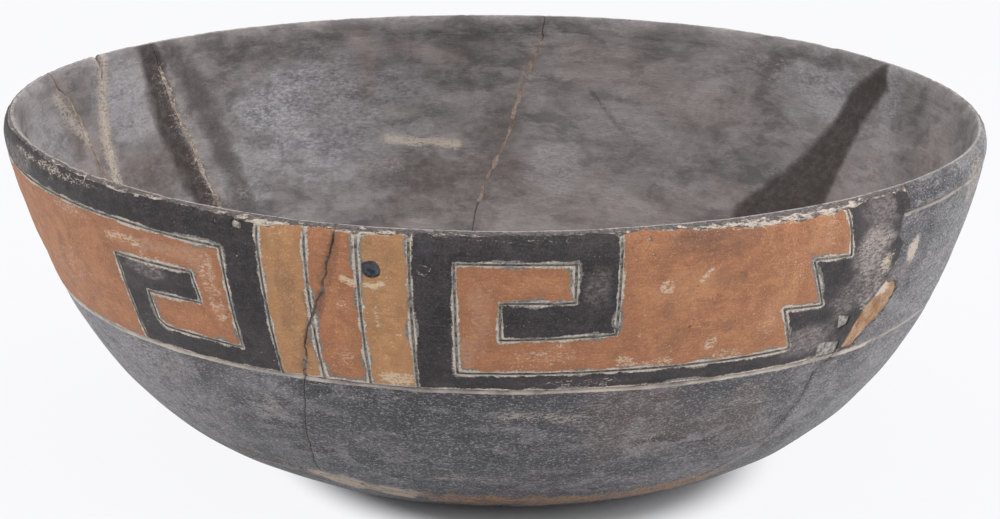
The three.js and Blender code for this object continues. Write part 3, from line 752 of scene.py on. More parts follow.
def paint_margin(turn, down, shift, lines, breaks, least):
    """Room inside the painted fields: below zero in the lines, the breaks and the bare clay."""
    room = nearest_distance(turn, down, lines)
    room = room - np.maximum(LINE_HALF_WIDTH + ragged(turn, down, 61, 0.14, 0.12), least)
    top = np.interp(turn - shift, *np.array(PAINT_TOP).T)
    top = top + 0.45 * ripple(turn, 0, 7, 9, 63) + 0.35 * ripple(turn, 0, 2.2, 9, 64)
    room = np.minimum(room, down - np.maximum(top + 0.15 * ripple(turn, down, 0.9, 0.9, 69), 0.8))
    chips = ripple(turn, down, 1.7, 1.7, 65) * 0.5 + ripple(turn, down, 6, 6, 66) * 0.5
    near_top = smooth((7 - down) / 4)
    room = np.minimum(room, (0.86 - 0.26 * near_top - chips) * 3)
    if not shift:
        for outline in BARE_PLACES:
            away = line_distance(turn, down, outline + outline[:1])
            away = np.where(inside_outline(turn, down, outline), -away, away)
            room = np.minimum(room, away + ragged(turn, down, 73, 0.3, 0.15))
    round_hole = hole_distance(turn, down) - HOLE_RADIUS - 0.1 - ragged(turn, down, 67, 0.1, 0.1)
    room = np.minimum(room, round_hole)
    for line in breaks:
        points = np.array(line)
        centre = break_turn(line, down)
        slopes = np.diff(points[:, 0]) / np.diff(points[:, 1])
        slope = np.interp(down, points[:-1, 1], slopes) * DEGREE_LENGTH
        away = np.abs(turn - centre) * degree_length(down) / np.sqrt(1 + slope ** 2)
        chipping = np.maximum(0.55 * ripple(turn, down, 3, 3, 68), 0)
        room = np.minimum(room, away - np.maximum(0.22 + chipping, 1.7 * least))
    return room


# A cut part is a coat if its box's corners are this near a CAD coat's, in metres, and it isn't a crumb.
FURTHEST_OFF = 0.009
FEWEST_POINTS = 60


def paint_band(nodes, shift, right_end, turn_span, step, breaks):
    """Paints one design and returns its coats, each with the name of the CAD coat that it stands for."""
    lines = band_lines(shift, right_end)

    def margin(turn, down, least=0.0):
        return paint_margin(turn, down, shift, lines, breaks, least)

    coats = {}
    for part in cut_skins("paint", turn_span, (0.6, ROW_FOOT + 0.4), step, margin):
        off, node = best_node(part, nodes)
        size = len(part.data.vertices)
        known = node in coats and len(coats[node].data.vertices) > size
        if off > FURTHEST_OFF or size < FEWEST_POINTS or known:
            bpy.data.objects.remove(part)
            continue
        if node in coats:
            bpy.data.objects.remove(coats[node])
        coats[node] = part
    for node, coat in coats.items():
        coat.name = f"aged_{node}"
        coat.data.name = coat.name
        wall = read_value(coat, "wall", 3)
        turn, down = wall[:, 0], wall[:, 1]
        whole = margin(turn, down)
        write_value(coat, "edge", nearest_distance(turn, down, lines) - LINE_HALF_WIDTH)
        write_value(coat, "crack", nearest_distance(turn, down, breaks))
        relief = 0.03 * ripple(turn, down, 1.1, 1.1, 71) + 0.05 * ripple(turn, down, 3.5, 3.5, 72)
        lift = hand_lift(turn, down) + 0.1 + relief - 0.12 * np.exp(-(np.maximum(whole, 0) / 0.22) ** 2)
        raise_skin(coat, lift, PAINT_THICKNESS)
    return coats


FRONT_COATS = [
    "front_left_dark", "front_left_light", "front_stripe_1_a", "front_stripe_1_b", "front_stripe_2_a",
    "front_stripe_2_b", "front_stripe_3", "front_right_light", "front_right_dark",
]
REAR_COATS = [
    "rear_left_dark", "rear_left_light", "rear_stripe_1", "rear_stripe_2", "rear_stripe_3",
    "rear_right_light_a", "rear_right_light_b", "rear_right_dark_a", "rear_right_dark_b",
    "rear_right_dark_c",
]

pieces = {}
pieces["front_sherd"] = make_sherd("front_sherd", BREAKS["front"], BREAKS["right"], column_step=0.56)
pieces["right_sherd"] = make_sherd("right_sherd", BREAKS["right"], BREAKS["rear"], column_step=0.8)
pieces["rear_sherd"] = make_sherd("rear_sherd", BREAKS["rear"], BREAKS["rear_left"], -360, -360)
pieces["rear_left_sherd"] = make_sherd("rear_left_sherd", BREAKS["rear_left"], BREAKS["left"], -360, -360)
pieces["left_rim_sherd"] = make_sherd(
    "left_rim_sherd", BREAKS["left"][:5], BREAKS["left_rim"], -360, -360, closed_point=True)
pieces["left_sherd"] = make_sherd(
    "left_sherd", BREAKS["left_side"], BREAKS["front"], -360, 0, column_step=0.66)
pieces["base_sherd"] = make_base("base_sherd")

front_breaks = [BREAKS["front"], BREAKS["right"]]
pieces.update(paint_band(FRONT_COATS, 0.0, FRONT_END, (-91.5, 54.5), 0.36, front_breaks))
rear_breaks = [BREAKS["rear"], BREAKS["rear_left"]]
pieces.update(paint_band(REAR_COATS, REPEAT_TURN, REAR_END, (88.5, 228.0), 0.5, rear_breaks))


def single_skin(node, turn_span, down_span, step, margin, lift, thickness, side=1.0):
    """One skin that isn't parted: the largest of the parts that the cutting leaves."""
    parts = cut_skins(f"aged_{node}", turn_span, down_span, step, margin, side)
    parts.sort(key=lambda part: len(part.data.vertices))
    skin = parts.pop()
    for part in parts:
        bpy.data.objects.remove(part)
    skin.name = skin.data.name = f"aged_{node}"
    wall = read_value(skin, "wall", 3)
    turn, down = wall[:, 0], wall[:, 1] * side
    room = margin(turn, down)
    write_value(skin, "edge", room)
    write_value(skin, "crack", np.full(len(turn), 9.0))
    raise_skin(skin, lift(turn, wall[:, 1], np.maximum(room, 0)), thickness)
    return skin


def make_filler(node, line, last_share, width):
    """Filler pressed into a break from the inside: a ragged ribbon along it."""
    last = last_share * WALL_LENGTH
    start = 0.06 * WALL_LENGTH
    turns = [turn for turn, down in line if down < last + 12]
    seed = 200 + int(turns[0])

    def margin(turn, down, least=0.0):
        centre = break_turn(line, down, -360 if line[0][0] > 180 else 0)
        centre = np.where(turn > 0, break_turn(line, down), centre)
        away = np.abs(turn - centre) * degree_length(-down)
        wander = 0.34 * ripple(0, down, 40, 7, seed) + 0.24 * ripple(0, down, 40, 2.2, seed + 1)
        half = width * (0.56 + wander)
        half = np.maximum(half + 0.3 * ripple(turn, down, 1.5, 1.5, seed + 2), 0.5)
        ends = np.minimum(down - start, last - down) + 0.5 * ripple(turn, 0, 1.5, 9, seed + 3)
        return np.minimum(half - away, ends)

    def lift(turn, down, room):
        crown = 0.1 * smooth(room / 0.7) - 0.1
        return hand_lift(turn, down) + crown + 0.05 * ripple(turn, down, 1.5, 1.5, seed + 4)

    turn_span = (min(turns) - 2, max(turns) + 2)
    return single_skin(node, turn_span, (start - 1, last + 1), 0.4, margin, lift, 0.8, -1.0)


def make_loss_filler(node):
    """The filler smeared into the loss beside the right break."""
    outline = LOSS_OUTLINE + LOSS_OUTLINE[:1]

    def margin(turn, down, least=0.0):
        away = line_distance(turn, down, outline)
        signed = np.where(inside_outline(turn, down, LOSS_OUTLINE), away, -away)
        return signed + ragged(turn, down, 81, 0.75, 0.4)

    def lift(turn, down, room):
        lumps = 0.12 * ripple(turn, down, 2, 2, 82) + 0.06 * ripple(turn, down, 0.8, 0.8, 83)
        return hand_lift(turn, down) - 0.18 + lumps - 0.25 * np.exp(-(room / 0.4) ** 2)

    return single_skin(node, (46, 57), (23, 46), 0.25, margin, lift, 0.9)


def make_plug(node):
    """Pitch pressed into the hole that was drilled for lacing."""
    def margin(turn, down, least=0.0):
        return HOLE_RADIUS - hole_distance(turn, down) + 0.06 * ripple(turn, down, 0.9, 0.9, 91)

    def lift(turn, down, room):
        dished = -0.55 - 0.2 * smooth(room / 1.4) + 0.12 * ripple(turn, down, 1.3, 1.3, 92)
        return hand_lift(turn, down) + dished

    reach = HOLE_RADIUS / DEGREE_LENGTH + 0.5
    turn_span = (HOLE_PLACE[0] - reach, HOLE_PLACE[0] + reach)
    down_span = (HOLE_PLACE[1] - HOLE_RADIUS - 0.6, HOLE_PLACE[1] + HOLE_RADIUS + 0.6)
    return single_skin(node, turn_span, down_span, 0.22, margin, lift, 3.6)


# Each filler's share of the wall's length, and its width.
for side, last_share, width in (
    ("rear", 0.44, 1.5), ("rear_left", 0.62, 2.1), ("left", 0.34, 2.3), ("left_rim", 0.27, 1.9),
):
    pieces[f"{side}_filler"] = make_filler(f"{side}_filler", BREAKS[side], last_share, width)
pieces["loss_filler"] = make_loss_filler("loss_filler")
pieces["lacing_hole_plug"] = make_plug("lacing_hole_plug")


# Stains, deposits and worn places, with some painted shadow and painted sheen, written on the points as
# four masks.
# A streak is (strength, path, width, softness), a patch (strength, middle, reach, raggedness)
# and a ring (strength, middle, radius, width).
MASKS = ("dark", "pale", "warm", "grey")

RESIN_WEDGE = [
    (120.6, 0.5), (125.2, 8.8), (127.2, 17.1), (129.4, 25.5), (131.0, 31.8), (134.0, 38.9),
    (137.4, 44.7), (140.6, 51.0), (142, 82), (124, 82), (124.6, 40.2), (124.0, 34.4),
    (123.2, 26.1), (121.8, 17.3), (119.0, 8.4),
]
RESIN_BAND_LEFT = [
    (233.6, 2), (232.8, 10.8), (232.5, 19.3), (232.4, 27.9), (231.6, 37.6), (230.2, 45.7), (228.5, 86),
]
RESIN_BAND_RIGHT = [(229.9, 3), (227.6, 12.3), (225.3, 22.2), (224.2, 33.7), (223.3, 47.1), (222, 86)]
RESIN_FADES = (88, 24)

INSIDE_STREAKS = {
    "dark": [
        # The first dark streak, wide and soft beside the rear break, is painted shadow.
        (0.4, [(178.8, 30), (181.5, 44), (184.0, 58), (186, 70)], 6.5, 0.9),
        (0.45, [(167, 22.7), (165.3, 26.8), (162.8, 32.3), (160.3, 36.2)], 0.7, 0.6),
    ],
    "pale": [
        (0.9, [(196.8, 38.0), (193.6, 39.2), (190.2, 39.2), (186.4, 40.4)], 1.7, 0.95),
        (0.3, [(175.8, 36), (173.4, 44), (172, 50)], 3, 0.9),
        (0.8, BREAKS["left"][:4], 3.2, 0.7),
        (0.75, [(256, 8), (254, 15), (251, 22)], 3.4, 0.8),
    ],
    "warm": [
        (0.7, [(200.8, 4.9), (198.2, 9.6), (199.3, 18.2), (199.3, 24)], 2.6, 0.9),
        (0.55, [(194.1, 8.5), (191.3, 11.7), (188.5, 13.3), (185.6, 13)], 2.4, 0.9),
    ],
}
INSIDE_PATCHES = {
    "dark": [
        (0.4, (191, 52), (26, 13), 0.6), (0.3, (200, 27), (20, 22), 0.6), (0.35, (212, 8), (30, 6), 0.7),
        (0.22, (150, 40), (30, 20), 0.6), (0.3, (108, 40), (16, 24), 0.5),
        (0.3, (184, 14), (14, 12), 0.6), (0.34, (253, 14), (12, 11), 0.5),
        (0.45, (240, 38), (18, 11), 0.5), (0.22, (142, 22), (20, 14), 0.5),
    ],
    "pale": [
        (0.45, (198, 45.5), (9, 3), 0.8), (0.5, (218.2, 45), (2.4, 1.8), 0.4),
        (0.35, (205, 20), (14, 9), 0.9), (0.3, (164, 30), (20, 12), 0.9), (0.5, (222.5, 50), (3, 3), 0.7),
        (0.4, (142, 8), (16, 5), 0.9),
    ],
    "warm": [
        (0.8, (244, 38), (22, 9), 0.6), (0.6, (252, 26), (12, 9), 0.6), (0.5, (183, 55), (34, 16), 0.6),
        (0.5, (150, 62), (50, 16), 0.6), (0.35, (120, 44), (26, 18), 0.6), (0.4, (164, 15), (22, 9), 0.7),
        (0.35, (150, 24), (24, 10), 0.8), (0.4, (102, 20), (14, 12), 0.6),
    ],
    "grey": [
        (0.95, (207, 30), (30, 20), 0.5), (0.6, (222, 45), (10, 14), 0.6), (0.6, (172, 47), (8, 9), 0.6),
        (0.6, (132, 12), (16, 12), 0.6), (0.7, (240, 14), (14, 16), 0.6), (0.5, (262, 20), (20, 18), 0.6),
        (0.5, (118, 10), (6, 12), 0.6),
    ],
}
# Brown glue along the mends: (the break, how strong it shows).
GLUED_BREAKS = ((BREAKS["left"], 0.9), (BREAKS["left_rim"], 0.8), (BREAKS["rear"], 0.5))

BELOW_RIGHT_BREAK = [(turn + 1.1, down + 2.0) for turn, down in BREAKS["right"][7:]]
OUTSIDE_STREAKS = {
    "dark": [
        (0.65, [(57.5, 27), (57.0, 34), (55.0, 42)], 3.4, 0.9),
        (1.0, BREAKS["right"][7:], 1.5, 0.6),
        (0.95, [(51.9, 4), (51.9, 9.8), (53.4, 15), (55.0, 21.8)], 0.9, 0.6),
        (0.95, BREAKS["front"][6:], 1.1, 0.7),
        (0.85, LOSS_OUTLINE + LOSS_OUTLINE[:1], 0.7, 0.7),
    ],
    "pale": [
        (0.98, [(-29.0, 86.8), (-25.0, 89.0), (-20.0, 91.0), (-15, 92.6)], 4.2, 0.4),
        (0.6, [(-14, 94.6), (-4, 96.6), (10, 95.4), (24, 96)], 1.1, 0.8),
        (0.4, [(47, 50), (45.0, 63.0), (43.0, 78)], 2.6, 0.9),
        (0.5, BELOW_RIGHT_BREAK, 1.4, 0.9),
    ],
    "warm": [
        (0.98, [(-8, 97), (6, 96.2), (16, 95.8), (24, 94.6), (33, 92.2), (38, 90)], 4.8, 0.5),
        (0.6, [(-31, 88.4), (-24, 90.6), (-12, 93)], 2.4, 0.8),
        (0.3, FOOT_RING[-4:] + FOOT_RING[:1], 2.5, 0.9),
    ],
}
OUTSIDE_PATCHES = {
    "dark": [
        (1.0, (-27.3, 72.5), (1.3, 1.6), 0.5), (1.0, (-28.9, 86.4), (2.6, 1.4), 0.5),
        # The patches at (-4, 66) and (-2, 88) make the lower front wall darker towards the foot.
        (0.9, (-27.4, 66), (0.7, 2), 0.5), (0.8, (-4, 66), (42, 22), 0.4), (0.5, (-2, 88), (30, 7), 0.5),
        (0.4, (150, 60), (70, 30), 0.5), (0.4, (210, 75), (50, 22), 0.5), (0.3, (110, 30), (36, 16), 0.5),
        (0.4, (59, 14), (5, 8), 0.6),
    ],
    "pale": [
        (0.95, (56.2, 18.2), (2.6, 3.6), 0.6), (0.9, (51.6, 27.2), (3.4, 2.2), 0.5),
        (0.55, (44.6, 42), (5.0, 3.4), 0.3), (0.5, (45.6, 33.8), (3.4, 2.6), 0.3),
        (0.6, (2, 52.5), (13, 2.6), 0.9), (0.36, (-14, 49), (12, 3), 0.9),
        (0.4, (-38.6, 64), (4, 8), 0.8), (0.34, (-50, 55), (16, 6), 0.9),
        (0.3, (20, 62), (22, 10), 0.9), (0.36, (33, 52), (10, 5), 0.9), (0.34, (-24, 66), (10, 8), 0.9),
        (0.36, (66, 30), (14, 10), 0.9), (0.34, (60, 52), (10, 8), 0.9),
        (0.44, (2, 80), (22, 2.6), 0.9), (0.5, (-30, 56), (7, 9), 0.9), (0.34, (-64, 50), (14, 6), 0.9),
        (0.34, (140, 60), (30, 14), 0.9), (0.34, (200, 58), (26, 10), 0.9),
        (0.34, (262, 60), (30, 14), 0.9), (0.34, (105, 40), (14, 16), 0.9),
        (0.5, (54.2, 44.6), (6, 1.6), 0.6), (0.62, (73, 7), (11, 7), 0.4),
    ],
    "warm": [
        (0.6, (17.5, 57), (17, 17), 0.5), (0.45, (34, 62), (16, 14), 0.5), (0.35, (-46, 50), (8, 5), 0.7),
        (0.4, (55, 24), (6, 4), 0.6), (0.4, (185, 66), (40, 18), 0.5), (0.4, (285, 70), (36, 16), 0.5),
    ],
    # Grey is clay worn dry. The big patches on the flanks, at turns -64, -52, 68, 80 and 84, are partly
    # painted sheen.
    "grey": [
        (0.8, (68, 46), (34, 46), 0.4), (0.85, (-64, 60), (46, 28), 0.4), (0.6, (48, 60), (16, 14), 0.5),
        (1.0, (80, 34), (18, 40), 0.3), (1.0, (84, 6), (18, 14), 0.2), (1.0, (-52, 50), (22, 9), 0.4),
        (0.4, (30, 84), (24, 8), 0.5), (0.4, (-32, 50), (14, 8), 0.7), (0.4, (170, 30), (40, 16), 0.6),
    ],
}

PAINT_STREAKS = {
    "dark": [
        (0.62, [(-17.0, 3.6), (-17.6, 7.5), (-18.3, 13.0)], 1.5, 0.8),
        (0.85, [(-19.1, 18.6), (-19.4, 20.4)], 0.9, 0.6),
        (0.8, [(-19.6, 21.5), (-20.4, 25.5), (-21.0, 29), (-21.8, 33)], 1.3, 0.6),
        (0.7, [(-21.0, 19), (-20.6, 26), (-20.4, 34)], 0.9, 0.6),
    ],
    "pale": [
        (0.9, [(-16.5, 13.9), (-15.6, 14.9), (-14.9, 15.3)], 0.85, 0.95),
        (0.9, [(-13.9, 15.3), (-13.1, 15.3), (-12.1, 14.5)], 0.8, 0.95),
        (0.72, [(24.4, 11.6), (23.2, 14.6)], 0.85, 0.95),
        (0.65, [(-48, 14.2), (-46, 13.6), (-43.2, 14.2)], 1.3, 0.8),
    ],
}
PAINT_RINGS = {
    "dark": [(0.62, (-18.6, 14.8), 1.5, 0.8)],
    "pale": [(0.6, (19.1, 15.6), 1.1, 1.5), (0.4, (-7.6, 10.4), 1.2, 0.6)],
}
PAINT_PATCHES = {
    "dark": [
        (0.42, (-23.4, 22), (4.0, 18), 0.7), (0.36, (-22.8, 34), (2.6, 4), 0.6),
        (0.5, (24.5, 27), (1.4, 1.2), 0.5), (0.3, (27, 17), (6, 4), 0.8), (0.3, (20, 30), (5, 4), 0.8),
        (0.5, (25, 5.6), (13, 3.2), 0.7), (0.34, (19.5, 22), (1.6, 3), 0.6),
        (0.5, (27.5, 28), (2, 1.4), 0.6), (0.3, (-46, 25), (8, 4), 0.8),
        (0.8, (24, 3.6), (9, 2.0), 0.7),
    ],
    "pale": [
        (0.75, (-12, 41.5), (5.5, 2.6), 0.9), (0.55, (-17.2, 37), (4, 4), 0.9),
        (0.5, (-13, 22), (1.2, 5), 0.9), (0.4, (-17, 20), (2.6, 3), 0.9),
        (0.6, (15.3, 35.5), (2.6, 2), 0.9), (0.55, (19, 37), (4, 1.2), 0.9),
        (0.6, (25.5, 32.6), (1.6, 1.6), 0.9), (0.45, (28, 36.5), (4, 1.4), 0.9),
        (0.32, (33, 30), (3, 6), 0.9), (0.3, (40, 8), (2.4, 5), 0.9),
        (0.6, (16.8, 22.7), (0.8, 1.0), 0.6), (0.6, (16.5, 28.3), (0.7, 1.4), 0.6),
        (0.66, (50.6, 20.5), (3.4, 4.5), 0.9), (0.5, (49, 30), (2.4, 3.4), 0.9),
        (0.45, (-10.6, 28), (1.0, 1.0), 0.6), (0.26, (35, 13), (4, 4), 0.9),
        (0.34, (-60, 30), (14, 8), 0.9), (0.4, (47, 14), (5, 7), 0.9), (0.5, (30, 2.6), (16, 0.8), 0.9),
        (0.5, (-60, 3), (30, 1.2), 0.9), (0.25, (2, 2.6), (14, 0.9), 0.9),
        (0.45, (-56, 11), (12, 2), 0.9), (0.5, (-33, 24), (2, 9), 0.9), (0.4, (5, 33), (9, 4), 0.9),
        (0.4, (-23.6, 4.2), (2.6, 1.4), 0.7), (0.4, (-40, 18), (6, 3), 0.9),
        (0.36, (8, 41.6), (14, 0.9), 0.9),
    ],
    "warm": [
        (0.8, (46.5, 8), (9, 12), 0.4), (0.7, (40, 37), (10, 6), 0.4), (0.5, (8, 41.5), (30, 1.2), 0.8),
        (0.5, (4.5, 13), (5, 2.5), 0.5), (0.5, (51.0, 20), (4, 5), 0.5),
        (0.7, (38.6, 8), (3.6, 7), 0.6), (0.5, (22, 17), (9, 5), 0.8), (0.5, (34, 26), (4, 6), 0.8),
    ],
    "grey": [
        (1.0, (47.4, 15.5), (6.6, 10), 0.4), (0.8, (49.4, 24), (6, 7), 0.5),
        (0.6, (41, 37), (9, 5), 0.6), (0.55, (48, 5), (7, 5), 0.5), (0.5, (44, 27), (6, 7), 0.6),
        (0.55, (-3.4, 33), (2.6, 5), 0.8), (0.3, (11, 14), (3, 6), 0.8),
        (0.6, (-38, 14.5), (9, 2.2), 0.8), (0.5, (-42.5, 21), (8, 2), 0.8),
        # The patch at (-70, 5.5) lightens the top of the dark paint on the left flank: partly haze,
        # partly painted sheen.
        (0.45, (-70, 5.5), (24, 3), 0.8), (0.1, (3, 5.5), (8, 1.6), 0.9),
        (0.4, (-1.6, 24), (2.5, 10), 0.9),
    ],
}


def along(turn, down, path, width, soft):
    """A mask that follows a path: full within the width and soft at its sides."""
    middle = np.mean([place[0] for place in path])
    away = line_distance(turn_from(turn, middle) + middle, down, path)
    ragged_width = width * (1 + 0.35 * ripple(turn, down, 4, 4, 131))
    return 1 - smooth((away - ragged_width * (1 - soft)) / (2 * ragged_width * soft))


def patch(turn, down, middle, reach, raggedness):
    """A soft round patch: its reach is in millimetres across and down."""
    across = turn_from(turn, middle[0]) * degree_length(down) / reach[0]
    away = np.hypot(across, (down - middle[1]) / reach[1])
    wander = 0.6 * ripple(turn, down, 9, 6, 132) + 0.4 * ripple(turn, down, 3, 2.5, 133)
    away = away + raggedness * wander
    return 1 - smooth((away - 0.45) / 0.9)


def outline_mask(turn, down, outline, soft):
    near_turn = turn_from(turn, outline[0][0]) + outline[0][0]
    away = line_distance(near_turn, down, outline + outline[:1])
    signed = np.where(inside_outline(near_turn, down, outline), away, -away)
    return smooth((signed + 0.8 * ripple(turn, down, 5, 5, 134)) / soft + 0.5)


def ring_mask(turn, down, middle, radius, width):
    across = turn_from(turn, middle[0]) * degree_length(down)
    away = np.abs(np.hypot(across, down - middle[1]) - radius)
    return 1 - smooth((away - width * 0.3) / (width * 0.6))


def strongest(turn, down, streaks, patches, rings):
    """Every mask's strongest streak, patch or ring at each place."""
    masks = {}
    for mask in MASKS:
        found = np.zeros(np.shape(turn))
        for shape, table in ((along, streaks), (patch, patches), (ring_mask, rings)):
            for strength, *given in table.get(mask, []):
                found = np.maximum(found, strength * shape(turn, down, *given))
        masks[mask] = found
    return masks


def inside_marks(turn, down):
    """Resin that ran along the mends, soot, a painted shadow beside the rear break, and pale and brown
    clouds on the inside.
    """
    masks = strongest(turn, down, INSIDE_STREAKS, INSIDE_PATCHES, {})
    end, reach = RESIN_FADES
    fading = smooth((end + 5 * ripple(turn, 0, 5, 9, 135) - down) / reach)
    for resin in (
        0.95 * outline_mask(turn, down, RESIN_WEDGE, 2.6),
        0.95 * along(turn, down, RESIN_BAND_LEFT, 4.8, 0.45),
        0.65 * along(turn, down, RESIN_BAND_RIGHT, 4.4, 0.75),
    ):
        masks["dark"] = np.maximum(masks["dark"], resin * fading)
    for line, strength in GLUED_BREAKS:
        glue = strength * along(turn, down, line[1:], 2.6, 0.8) * smooth((60 - down) / 10)
        masks["warm"] = np.maximum(masks["warm"], glue)
    beside = along(turn, down, BREAKS["rear_left"][1:], 4.2, 0.9) * smooth((70 - down) / 10)
    masks["pale"] = np.maximum(masks["pale"], 0.5 * beside)
    return masks


def write_marks(piece, painted):
    wall = read_value(piece, "wall", 3)
    turn, down = wall[:, 0], wall[:, 1]
    if painted:
        masks = strongest(turn, down, PAINT_STREAKS, PAINT_PATCHES, PAINT_RINGS)
    else:
        within = inside_marks(turn, np.abs(down))
        without = strongest(turn, np.abs(down), OUTSIDE_STREAKS, OUTSIDE_PATCHES, {})
        masks = {mask: np.where(down < 0, within[mask], without[mask]) for mask in MASKS}
    write_value(piece, "marks", np.clip(np.stack([masks[mask] for mask in MASKS], axis=1), 0, 1))


# Finishes.
def linear(red, green, blue):
    """A colour as it looks on a screen, 0 to 255, as a light value for a shader."""
    values = [channel / 255 for channel in (red, green, blue)]
    return tuple(v / 12.92 if v <= 0.04045 else ((v + 0.055) / 1.055) ** 2.4 for v in values) + (1.0,)


class Recipe:
    """The nodes of one finish or one shared effect, added and joined one after another."""

    def __init__(self, tree):
        self.tree = tree
        self.count = 0

    def add(self, kind, **settings):
        node = self.tree.nodes.new(kind)
        node.location = (180 * (self.count % 12) - 900, -260 * (self.count // 12))
        self.count += 1
        for key, value in settings.items():
            setattr(node, key, value)
        return node

    def feed(self, socket, value):
        if isinstance(value, bpy.types.NodeSocket):
            self.tree.links.new(value, socket)
        else:
            socket.default_value = value

    def math(self, operation, a, b=0.0, clamp=False):
        node = self.add("ShaderNodeMath", operation=operation, use_clamp=clamp)
        for socket, value in zip(node.inputs, (a, b)):
            self.feed(socket, value)
        return node.outputs[0]

    def times(self, *values):
        """The product of several values."""
        product = values[0]
        for value in values[1:]:
            product = self.math("MULTIPLY", product, value)
        return product

    def plus(self, *values):
        """The sum of several values."""
        total = values[0]
        for value in values[1:]:
            total = self.math("ADD", total, value)
        return total

    def noise(self, vector, scale, detail=3.0, rough=0.55, distortion=0.0):
        node = self.add("ShaderNodeTexNoise")
        self.feed(node.inputs["Vector"], vector)
        self.feed(node.inputs["Scale"], scale)
        node.inputs["Detail"].default_value = detail
        node.inputs["Roughness"].default_value = rough
        node.inputs["Distortion"].default_value = distortion
        return node.outputs["Fac"]

    def cells(self, vector, scale):
        node = self.add("ShaderNodeTexVoronoi")
        self.feed(node.inputs["Vector"], vector)
        self.feed(node.inputs["Scale"], scale)
        return node

    def stretch(self, vector, scale):
        node = self.add("ShaderNodeMapping")
        self.feed(node.inputs["Vector"], vector)
        node.inputs["Scale"].default_value = scale
        return node.outputs["Vector"]

    def drawn_noise(self, vector, scale, detail, rough=0.55, distortion=0.0):
        """Noise that is drawn out: scale holds its coarseness along x, y and z."""
        return self.noise(self.stretch(vector, scale), 1.0, detail, rough, distortion)

    def span(self, value, low, high, start=0.0, end=1.0):
        """Turns a value between low and high into one between start and end, smoothly."""
        node = self.add("ShaderNodeMapRange", interpolation_type="SMOOTHSTEP")
        for socket, given in zip(node.inputs, (value, low, high, start, end)):
            self.feed(socket, given)
        return node.outputs[0]

    def blend(self, share, a, b):
        node = self.add("ShaderNodeMix", data_type="RGBA", blend_type="MIX")
        self.feed(node.inputs["Factor"], share)
        self.feed(node.inputs[6], a)
        self.feed(node.inputs[7], b)
        return node.outputs[2]

    def coats(self, colour, coats):
        """Lays coats over a colour, one after another. Each coat is its share and its colour."""
        for share, coat in coats:
            colour = self.blend(share, colour, coat)
        return colour

    def effect(self, group, **inputs):
        node = self.add("ShaderNodeGroup", node_tree=group)
        for key, value in inputs.items():
            self.feed(node.inputs[key], value)
        return node.outputs

    def value_of(self, name):
        return self.add("ShaderNodeAttribute", attribute_name=name)

    def number_of(self, name):
        return self.value_of(name).outputs["Fac"]

    def place(self):
        """The place on the bowl in millimetres, so that a pattern runs on over every piece."""
        return self.stretch(self.add("ShaderNodeTexCoord").outputs["Object"], (1000.0, 1000.0, 1000.0))


def new_effect(name, takes, gives):
    """An empty shared effect. takes holds (name, kind, value) and gives holds (name, kind)."""
    group = bpy.data.node_groups.new(name, "ShaderNodeTree")
    for title, kind, value in takes:
        socket = group.interface.new_socket(name=title, in_out="INPUT", socket_type=kind)
        if value is not None:
            socket.default_value = value
    for title, kind in gives:
        group.interface.new_socket(name=title, in_out="OUTPUT", socket_type=kind)
    recipe = Recipe(group)
    source = recipe.add("NodeGroupInput")
    sink = recipe.add("NodeGroupOutput")
    return group, recipe, source.outputs, sink.inputs


VECTOR, NUMBER = "NodeSocketVector", "NodeSocketFloat"


def burnish_effect():
    """Level streaks left by rubbing the clay with a pebble, with a few pale hair scratches."""
    group, recipe, takes, gives = new_effect(
        "burnish_streaks", [("Place", VECTOR, None)], [("Streaks", NUMBER), ("Scratches", NUMBER)])
    place = takes["Place"]
    fine = recipe.drawn_noise(place, (0.16, 0.16, 1.5), 5.0, 0.7, 0.8)
    broad = recipe.drawn_noise(place, (0.035, 0.035, 0.24), 3.0, 0.6, 0.9)
    mixed = recipe.plus(recipe.times(fine, 0.55), recipe.times(broad, 0.45))
    recipe.feed(gives["Streaks"], recipe.span(mixed, 0.41, 0.61))
    cut = recipe.drawn_noise(place, (0.2, 0.2, 2.6), 3.0, 0.6, 1.2)
    where = recipe.drawn_noise(place, (0.07, 0.07, 0.2), 3.0, 0.6)
    drift = recipe.span(where, 0.45, 0.62)
    recipe.feed(gives["Scratches"], recipe.times(recipe.span(cut, 0.58, 0.68), drift))
    return group


def bloom_effect():
    """A dry pale film that lies on the clay in broken patches, and the clay's own fine grain."""
    group, recipe, takes, gives = new_effect(
        "dry_bloom", [("Place", VECTOR, None)], [("Bloom", NUMBER), ("Grain", NUMBER)])
    place = takes["Place"]
    patches = recipe.drawn_noise(place, (0.05, 0.05, 0.12), 4.0, 0.65, 0.8)
    tooth = recipe.drawn_noise(place, (0.55, 0.55, 1.9), 5.0, 0.8)
    mixed = recipe.plus(recipe.times(patches, 0.6), recipe.times(tooth, 0.4))
    recipe.feed(gives["Bloom"], recipe.span(mixed, 0.47, 0.59))
    fine = recipe.drawn_noise(place, (1.3, 1.3, 2.6), 4.0, 0.8)
    recipe.feed(gives["Grain"], recipe.span(fine, 0.34, 0.66))
    return group


def breaking_effect():
    """Breaks a painted mask up into grains and short streaks, more where the mask is stronger."""
    group, recipe, takes, gives = new_effect(
        "broken_mask", [("Place", VECTOR, None), ("Mask", NUMBER, 0.0)], [("Mask", NUMBER)])
    place = takes["Place"]
    streaky = recipe.drawn_noise(place, (0.6, 0.6, 1.7), 3.0, 0.65, 0.8)
    grainy = recipe.noise(place, 2.3, 3.0, 0.7)
    mixed = recipe.plus(recipe.times(streaky, 0.6), recipe.times(grainy, 0.4))
    level = recipe.plus(recipe.times(takes["Mask"], 0.28), mixed)
    broken = recipe.span(level, 0.62, 0.72)
    recipe.feed(gives["Mask"], recipe.times(broken, recipe.span(takes["Mask"], 0.02, 0.14)))
    return group


